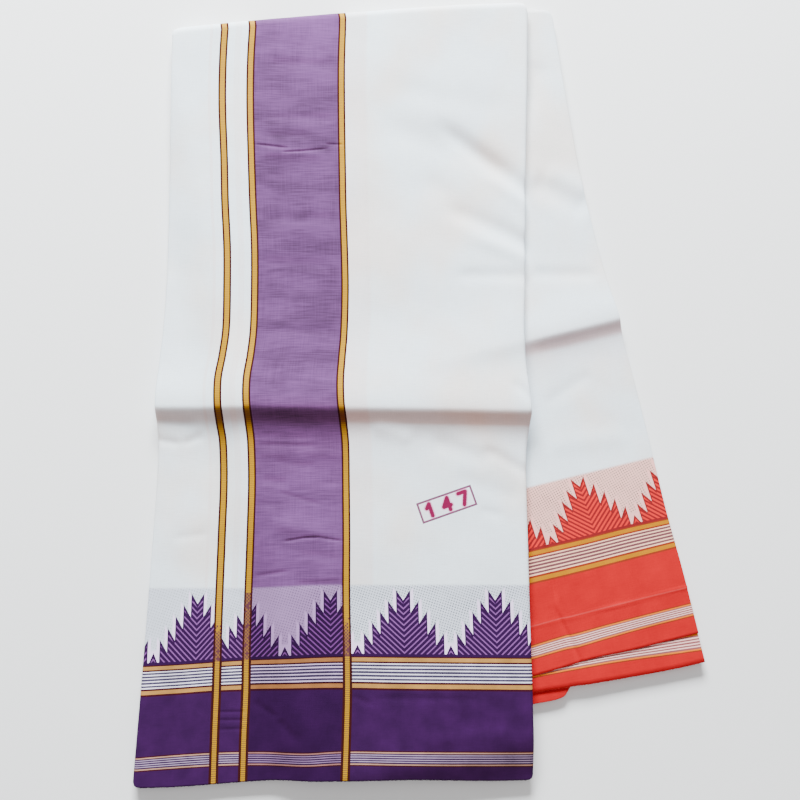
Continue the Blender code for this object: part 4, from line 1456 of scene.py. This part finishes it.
Colour = namedtuple("Colour", "name label value")
COLOURS = [Colour(*row) for row in (
    ("white", "White ground", (0.800, 0.885, 0.950)),
    ("warm_white", "White ground, warmer places", (0.850, 0.800, 0.770)),
    ("seen_through", "Lines seen through the white", (0.800, 0.690, 0.680)),
    ("lilac_dark", "Lilac band, dark streaks", (0.050, 0.023, 0.056)),
    ("lilac_light", "Lilac band, light streaks", (0.165, 0.064, 0.205)),
    ("lilac_ground", "Lilac band over the dotted ground", (0.270, 0.160, 0.320)),
    ("lilac_halo", "Lilac band round the towers", (0.360, 0.210, 0.430)),
    ("lilac_over_border", "Tint of the lilac band over the border", (0.70, 0.56, 0.72)),
    ("purple_deep", "Purple", (0.032, 0.0056, 0.050)),
    ("purple_tower", "Purple towers", (0.024, 0.0038, 0.040)),
    ("purple_chevron", "Purple chevrons", (0.185, 0.066, 0.236)),
    ("purple_edging", "Maroon edging", (0.036, 0.003, 0.010)),
    ("purple_gold", "Purple border's gold", (0.390, 0.195, 0.050)),
    ("purple_pale_gold", "Purple border's pale gold", (0.400, 0.220, 0.150)),
    ("purple_lined", "Purple border's pale lines", (0.720, 0.680, 0.800)),
    ("purple_line", "Purple border's dark lines", (0.045, 0.036, 0.072)),
    ("purple_hem_lined", "Purple hem's pale lines", (0.330, 0.240, 0.370)),
    ("purple_hem_line", "Purple hem's dark lines", (0.026, 0.010, 0.040)),
    ("purple_ground", "Dotted ground", (0.590, 0.630, 0.720)),
    ("purple_halo", "Ground round the purple towers", (0.830, 0.670, 0.940)),
    # Fold tints: painted shade, multiplied into the cloth's colour where the folds turn from the window.
    ("purple_fold", "Tint of old folds, front flap", (0.78, 0.52, 0.46)),
    ("colour_fold", "Tint of old folds, lilac and purple", (0.76, 0.62, 0.60)),
    ("stripe_fold", "Tint of old folds, golden stripes", (0.27, 0.11, 0.50)),
    ("orange_deep", "Orange-red", (0.450, 0.0075, 0.0105)),
    ("orange_tower", "Orange towers", (0.210, 0.012, 0.014)),
    ("orange_chevron", "Orange chevrons", (0.660, 0.020, 0.018)),
    ("orange_edging", "Brown edging", (0.240, 0.0276, 0.010)),
    ("orange_gold", "Orange border's gold", (0.440, 0.165, 0.0)),
    ("orange_pale_gold", "Orange border's pale gold", (0.660, 0.165, 0.012)),
    ("orange_lined", "Orange border's pale lines", (0.900, 0.520, 0.360)),
    ("orange_line", "Orange border's dark lines", (0.150, 0.052, 0.062)),
    ("orange_hem_lined", "Orange hem's pale lines", (0.860, 0.520, 0.480)),
    ("orange_hem_line", "Orange hem's dark lines", (0.250, 0.075, 0.078)),
    ("orange_ground", "Pink dotted ground", (0.820, 0.460, 0.400)),
    ("orange_halo", "Ground round the orange towers", (0.900, 0.440, 0.400)),
    # Painted shade of the back flap's folds.
    ("orange_fold", "Tint of old folds, back flap", (0.80, 0.56, 0.54)),
    ("dot_shade", "Dots' tint", (0.17, 0.17, 0.19)),
    ("stripe_gold", "Golden stripes", (0.440, 0.228, 0.0)),
    ("stripe_edge", "Stripes' edge threads", (0.034, 0.0045, 0.004)),
    ("stripe_tick", "Dark threads across the stripes", (0.055, 0.008, 0.045)),
    ("mark_ink", "Size mark's ink", (0.170, 0.0005, 0.040)),
    ("mark_halo", "Size mark's spread ink", (0.700, 0.060, 0.300)),
    ("mark_frame", "Size mark's frame", (0.110, 0.012, 0.060)),
)]
DhotiColours.__annotations__ = {
    row.name: bpy.props.FloatVectorProperty(
        name=row.label, description=row.label + ", as a linear colour", default=row.value,
        size=3, min=0.0, max=1.0, subtype='COLOR')
    for row in COLOURS
}


def front_rows(wide):
    """Heights up the front flap, close together at its end and its creases."""
    crease = FRONT_CREASE_UP + CREASE_SPAN[0], FRONT_CREASE_UP + CREASE_SPAN[1], CREASE_STEP
    spans = [crease] + fine_spans(FRONT_CREASES, 1)
    return np.concatenate([FRONT_END_ROWS, spread(FRONT_ROWS_FROM, FRONT_BLENDS[2], wide, spans)])


def side_shares(step):
    """Shares across a flap at an even step, closer where the sides turn down."""
    turn = EDGE_TURN_WIDTH / PANEL_WIDTH
    edge = turn * np.array([*EDGE_SHARES, 1.0])
    inner = np.linspace(turn, 1.0 - turn, round(PANEL_WIDTH / step))[1:-1]
    return np.concatenate([edge, inner, 1.0 - edge[::-1]])


def build_front_cloth(colours, sizes):
    """The sheet that shows: from the purple selvedge over the top, and round the fold."""
    share, row = np.meshgrid(side_shares(COLUMN_STEP), front_rows(ROW_STEP))
    x, y = front_plan(share, row)
    z = front_surface(x, y)
    # Painted shade of the folds, carried in the chart map; weaker towards the flap's left side.
    strength = LEFT_SHADE + (1.0 - LEFT_SHADE) * ease((x - LEFT_SHADE_START) / LEFT_SHADE_RUN)
    folded = crease_shade(front_surface, x, y, front_crease_line(x) - y, FOLD_SHADE_STRENGTH * strength)
    top_x, top_y = x[-1], y[-1]
    radius = front_surface(top_x, top_y) / 2.0
    angle = np.linspace(0.0, ROLL_SWEEP, ROLL_STEPS + 1)[1:, None]
    away, along = radius * np.sin(angle), math.hypot(1.0, FOLD_SLOPE)
    x = np.concatenate([x, top_x - away * FOLD_SLOPE / along])
    y_roll = top_y + away / along
    z = np.concatenate([z, radius + radius * np.cos(angle)])
    across, up, chart = front_cloth_place(x[:len(row)], y)
    flat = np.stack([across, up, chart, folded], axis=-1)
    roll = np.repeat(flat[-1:], ROLL_STEPS, axis=0)
    roll[:, :, 1] += radius * angle
    points = to_row_frame(x, np.concatenate([y, y_roll]), z)
    material = cloth_material("Front cloth", colours, sizes, stripes=True, mark=True)
    return build_sheet("front_cloth", points, np.concatenate([flat, roll]), material)


def pile_shares():
    first, second = PILE_EDGES
    inner = np.linspace(second, 1.0 - second, PILE_COLUMNS)
    return np.concatenate([[0.0, first], inner, [1.0 - first, 1.0]])


def front_pile_place(share, row, height, side_in, low_in):
    """A point of the hidden front layers, at a share of the height between flap and sheet."""
    x, y = front_plan(share, row, side_in, low_in, high_in=LOOP_STRAY + LOOP_DEPTH)
    low = front_rest(x, y)
    high = front_surface(x, y) - SHEET_THICKNESS - PILE_SPARE
    return x, y, low + (high - low) * height


def build_front_folds(colours, sizes):
    crease = FRONT_CREASE_UP + CREASE_SPAN[0], FRONT_CREASE_UP + CREASE_SPAN[1], PILE_STEP / 2.0
    rows = spread(0.0, FRONT_BLENDS[2], PILE_STEP, [crease])
    material = cloth_material("Front folds", colours, sizes)
    return build_pile("front_folds", pile_shares(), rows, FRONT_LOOPS, front_pile_place, front_cloth_place,
                      material, seed=11)


def back_rows(wide, close):
    """Places down the back flap, close together at its crease and its fine fold lines."""
    first, last = back_crease_line(0.0), back_crease_line(BACK_CREASE_END)
    spans = [(first + CREASE_SPAN[0], last + CREASE_SPAN[1], close)]
    return spread(0.0, BACK_BLENDS[2], wide, spans + fine_spans(BACK_CREASES, 1))


def back_shares():
    """Shares across the back flap, fine where it shows and coarse under the front flap."""
    edge = EDGE_TURN_WIDTH * np.array(EDGE_SHARES)
    shown = spread(EDGE_TURN_WIDTH, BACK_SHOWN, COLUMN_STEP, fine_spans(BACK_CREASES, 0))
    hidden = np.arange(BACK_SHOWN + COARSE_STEP, PANEL_WIDTH - COARSE_STEP / 2.0, COARSE_STEP)
    return np.concatenate([edge, shown, hidden, [PANEL_WIDTH]]) / PANEL_WIDTH


def back_edge_turn(across, down):
    right = read_row(BACK_SECTIONS, down, "right")
    return edge_turn(across - right)


def build_back_layer(name, rows, last, side_in, drop, routes, material):
    """One loose sheet of the back flap, with its orange border."""
    share, row = np.meshgrid(back_shares(), rows)
    across, down = back_plan(share, row, last, side_in=side_in)
    z = back_surface(across, down) - drop - BACK_TURN_SHARE * back_edge_turn(across, down)
    # Painted shade of the back flap's crease, carried in the chart map.
    strength = FOLD_SHADE_STRENGTH * ease((BACK_CREASE_END - across) / BACK_CREASE_FADE)
    below = down - back_crease_line(across)
    folded = crease_shade(lambda a, d: back_surface(a, -d), across, -down, below, strength)
    cloth = np.stack([*back_cloth_place(across, down, routes), folded], axis=-1)
    return build_sheet(name, to_row_frame(*from_back(across, down), z), cloth, material)


def build_back_cloth(colours, sizes):
    material = cloth_material("Back cloth", colours, sizes, orange=True)
    rows = back_rows(ROW_STEP, CREASE_STEP)
    return build_back_layer("back_cloth", rows, "sheet", 0.0, 0.0, BACK_ROUTES, material)


def build_back_under_cloth(colours, sizes):
    material = cloth_material("Back under cloth", colours, sizes, orange=True)
    drop = SHEET_THICKNESS + GAP
    rows = back_rows(UNDER_STEP, UNDER_STEP)
    return build_back_layer("back_under_cloth", rows, "second", SECOND_SET_IN, drop, SECOND_ROUTES, material)


def back_pile_place(share, row, height, side_in, low_in):
    """A point of the hidden back layers, on the surface that the pack lies on."""
    across, down = back_plan(share, row, "layers", side_in, low_in, height * BACK_PILE)
    high = back_surface(across, down) - 2.0 * (SHEET_THICKNESS + GAP) - PILE_SPARE
    return (*from_back(across, down), high * height)


def back_pile_cloth(x, y):
    return back_cloth_place(*to_back(x, y), slip=THIRD_SLIP)


def build_back_folds(colours, sizes):
    step_out = np.linspace(STEP_OUT[0], STEP_OUT[1], STEP_OUT_COLUMNS) / PANEL_WIDTH
    shares = np.unique(np.concatenate([pile_shares(), step_out]))
    material = cloth_material("Back folds", colours, sizes, orange=True)
    rows = back_rows(PILE_STEP, PILE_STEP / 2.0)
    return build_pile("back_folds", shares, rows, BACK_LOOPS, back_pile_place, back_pile_cloth,
                      material, seed=23)


def loops_tree():
    """Geometry nodes: the weft's small turns, set along an edge line at an even spacing."""
    tree = bpy.data.node_groups.new("Selvedge loops", "GeometryNodeTree")
    kinds = {"Geometry": "Geometry", "Spacing": "Float", "Loop Radius": "Float", "Thread Radius": "Float",
             "Unevenness": "Float", "Seed": "Int", "Material": "Material"}
    for name, kind in kinds.items():
        tree.interface.new_socket(name=name, in_out='INPUT', socket_type="NodeSocket" + kind)
    tree.interface.new_socket(name="Geometry", in_out='OUTPUT', socket_type="NodeSocketGeometry")
    n = Nodes(tree)
    given = n.outputs(n.add("NodeGroupInput"))
    line = n.wire("GeometryNodeMeshToCurve", [("Mesh", given["Geometry"])])
    inputs = ("Curve", line), ("Length", given["Spacing"])
    even = n.wire("GeometryNodeResampleCurve", inputs, mode='LENGTH')
    ring, thread = [
        n.wire("GeometryNodeCurvePrimitiveCircle", (("Resolution", sides), ("Radius", given[name])))
        for name, sides in (("Loop Radius", LOOP_SIDES), ("Thread Radius", THREAD_SIDES))]
    loop = n.wire("GeometryNodeCurveToMesh", (("Curve", ring), ("Profile Curve", thread)))
    inputs = ("Min", LOOP_TURNS[0]), ("Max", LOOP_TURNS[1]), ("Seed", given["Seed"])
    turn = n.wire("FunctionNodeRandomValue", inputs, data_type='FLOAT_VECTOR')
    low, high = 1.0 - given["Unevenness"], given["Unevenness"] + 1.0
    size = n.wire("FunctionNodeRandomValue", ((2, low), (3, high), ("Seed", given["Seed"])), 1)
    inputs = ("Points", even), ("Instance", loop), ("Rotation", turn), ("Scale", size)
    real = n.wire("GeometryNodeRealizeInstances", [(0, n.wire("GeometryNodeInstanceOnPoints", inputs))])
    painted = n.wire("GeometryNodeSetMaterial", (("Geometry", real), ("Material", given["Material"])))
    n.add("NodeGroupOutput", [("Geometry", painted)])
    return tree


def build_loops(name, line, spacing, material, seed):
    """Weft turns along a line of points, as a plain mesh."""
    tree = bpy.data.node_groups.get("Selvedge loops") or loops_tree()
    mesh = bpy.data.meshes.new(name + "_line")
    mesh.from_pydata(line.tolist(), [(i, i + 1) for i in range(len(line) - 1)], [])
    carrier = bpy.data.objects.new(name + "_line", mesh)
    bpy.context.scene.collection.objects.link(carrier)
    loops = carrier.modifiers.new("loops", 'NODES')
    loops.node_group = tree
    values = {"Spacing": spacing, "Loop Radius": LOOP_RADIUS, "Thread Radius": THREAD_RADIUS,
              "Unevenness": LOOP_UNEVENNESS, "Seed": seed, "Material": material}
    for item in tree.interface.items_tree:
        if item.in_out == 'INPUT' and item.name in values:
            loops[item.identifier] = values[item.name]
    carrier.update_tag()
    seen = carrier.evaluated_get(bpy.context.evaluated_depsgraph_get())
    plain = bpy.data.meshes.new_from_object(seen)
    plain.name = name
    plain.shade_smooth()
    carrier.modifiers.remove(loops)
    bpy.data.objects.remove(carrier)
    piece = bpy.data.objects.new(name, plain)
    bpy.context.scene.collection.objects.link(piece)
    return piece


def settings(context):
    return context.scene.dhoti_colours, context.scene.dhoti_sizes


class DHOTI_OT_front_cloth(bpy.types.Operator):
    """Make the front flap's sheet, with its end bands and purple border"""
    bl_idname = "dhoti.front_cloth"
    bl_label = "Front cloth"

    def execute(self, context):
        piece = build_front_cloth(*settings(context))
        finish_piece(piece, "front_sheet")
        return {'FINISHED'}


class DHOTI_OT_front_folds(bpy.types.Operator):
    """Make the front flap's hidden layers, with their folds at the edges"""
    bl_idname = "dhoti.front_folds"
    bl_label = "Front folds"

    def execute(self, context):
        piece = build_front_folds(*settings(context))
        finish_piece(piece, "front_layers")
        return {'FINISHED'}


class DHOTI_OT_back_cloth(bpy.types.Operator):
    """Make the back flap's upper sheet, with its orange border"""
    bl_idname = "dhoti.back_cloth"
    bl_label = "Back cloth"

    def execute(self, context):
        piece = build_back_cloth(*settings(context))
        finish_piece(piece, "back_sheet")
        return {'FINISHED'}


class DHOTI_OT_back_under_cloth(bpy.types.Operator):
    """Make the back flap's second sheet, which has slipped out under the first"""
    bl_idname = "dhoti.back_under_cloth"
    bl_label = "Back under cloth"

    def execute(self, context):
        piece = build_back_under_cloth(*settings(context))
        finish_piece(piece, "back_second_sheet")
        return {'FINISHED'}


class DHOTI_OT_back_folds(bpy.types.Operator):
    """Make the back flap's hidden layers, which lie on the surface"""
    bl_idname = "dhoti.back_folds"
    bl_label = "Back folds"

    def execute(self, context):
        piece = build_back_folds(*settings(context))
        finish_piece(piece, "back_layers")
        return {'FINISHED'}


class DHOTI_OT_selvedges(bpy.types.Operator):
    """Make the weft's turns along the selvedges"""
    bl_idname = "dhoti.selvedges"
    bl_label = "Selvedges"

    def execute(self, context):
        colours, sizes = settings(context)
        share = np.linspace(*LOOP_SPAN, LOOP_LINE_POINTS)
        x, y = front_plan(share, np.zeros_like(share))
        front = to_row_frame(x, y, front_surface(x, y) - SHEET_THICKNESS / 2.0)
        purple = thread_material("Purple selvedge thread", colours.purple_deep)
        piece = build_loops("front_selvedge", front, sizes.loop_spacing, purple, 3)
        finish_piece(piece, None)
        orange = thread_material("Orange selvedge thread", colours.orange_deep)
        for name, last, drop, slot, seed in (
                ("back_selvedge", "sheet", 0.0, "back_cloth", 5),
                ("back_under_selvedge", "second", SHEET_THICKNESS + GAP, "back_under_cloth", 7)):
            across, down = back_plan(share, np.full_like(share, BACK_BLENDS[2]), last)
            height = back_surface(across, down) - drop - SHEET_THICKNESS / 2.0
            line = to_row_frame(*from_back(across, down), height)
            piece = build_loops(name, line, sizes.loop_spacing, orange, seed)
            finish_piece(piece, None)
        return {'FINISHED'}


def add_light(row):
    """A soft lamp that looks at the middle of the pack."""
    data = bpy.data.lights.new(row.name, 'AREA')
    data.shape = 'RECTANGLE'
    data.size, data.size_y = row.size
    data.energy = row.power
    data.color = row.colour
    lamp = bpy.data.objects.new(row.name, data)
    lamp.location = row.at
    lamp.rotation_euler = (-Vector(row.at)).to_track_quat('-Z', 'Y').to_euler()
    bpy.context.scene.collection.objects.link(lamp)


class DHOTI_OT_stage(bpy.types.Operator):
    """Make the pale floor, the studio light and the camera"""
    bl_idname = "dhoti.stage"
    bl_label = "Stage"

    def execute(self, context):
        mesh = bpy.data.meshes.new("floor")
        plane = bmesh.new()
        bmesh.ops.create_grid(plane, x_segments=1, y_segments=1, size=FLOOR_HALF)
        plane.to_mesh(mesh)
        plane.free()
        floor = bpy.data.objects.new("floor", mesh)
        context.scene.collection.objects.link(floor)
        pale = bpy.data.materials.new("Pale floor")
        pale.use_nodes = True
        shader = pale.node_tree.nodes["Principled BSDF"]
        shader.inputs["Base Color"].default_value = FLOOR_COLOUR
        shader.inputs["Roughness"].default_value = FLOOR_ROUGHNESS
        mesh.materials.append(pale)
        world = bpy.data.worlds.new("Studio")
        world.use_nodes = True
        sky = world.node_tree.nodes["Background"].inputs
        sky["Color"].default_value = SKY_COLOUR
        sky["Strength"].default_value = SKY_STRENGTH
        context.scene.world = world
        for lamp in LAMPS:
            add_light(lamp)
        data = bpy.data.cameras.new("Camera")
        data.lens = LENS
        data.sensor_width = SENSOR
        data.clip_start = CLIP_START
        camera = bpy.data.objects.new("Camera", data)
        camera.location = (CAMERA_AT[0] - PACK_MIDDLE[0], CAMERA_AT[1] - PACK_MIDDLE[1], CAMERA_AT[2])
        turn = Vector(CAMERA_TURN)
        camera.rotation_euler = Quaternion(turn.normalized(), turn.length).to_euler()
        context.scene.collection.objects.link(camera)
        context.scene.camera = camera
        return {'FINISHED'}


class DHOTI_PT_panel(bpy.types.Panel):
    """Lists the pieces of the folded dhoti cloth"""
    bl_idname = "DHOTI_PT_panel"
    bl_label = "Folded dhoti cloth"
    bl_space_type = 'VIEW_3D'
    bl_region_type = 'UI'
    bl_category = "Dhoti"

    def draw(self, context):
        layout = self.layout
        for operator in OPERATORS:
            layout.operator(operator.bl_idname)
        for name in DhotiSizes.__annotations__:
            layout.prop(context.scene.dhoti_sizes, name)
        for name in DhotiColours.__annotations__:
            layout.prop(context.scene.dhoti_colours, name)


OPERATORS = (
    DHOTI_OT_front_cloth,
    DHOTI_OT_front_folds,
    DHOTI_OT_back_cloth,
    DHOTI_OT_back_under_cloth,
    DHOTI_OT_back_folds,
    DHOTI_OT_selvedges,
    DHOTI_OT_stage,
)
CLASSES = (DhotiColours, DhotiSizes, *OPERATORS, DHOTI_PT_panel)


def register():
    for item in CLASSES:
        bpy.utils.register_class(item)
    bpy.types.Scene.dhoti_colours = bpy.props.PointerProperty(type=DhotiColours)
    bpy.types.Scene.dhoti_sizes = bpy.props.PointerProperty(type=DhotiSizes)


def unregister():
    del bpy.types.Scene.dhoti_sizes
    del bpy.types.Scene.dhoti_colours
    for item in reversed(CLASSES):
        bpy.utils.unregister_class(item)


def main():
    register()
    bpy.ops.dhoti.front_folds()
    bpy.ops.dhoti.front_cloth()
    bpy.ops.dhoti.back_folds()
    bpy.ops.dhoti.back_under_cloth()
    bpy.ops.dhoti.back_cloth()
    bpy.ops.dhoti.selvedges()
    bpy.ops.dhoti.stage()


if __name__ == "__main__":
    main()
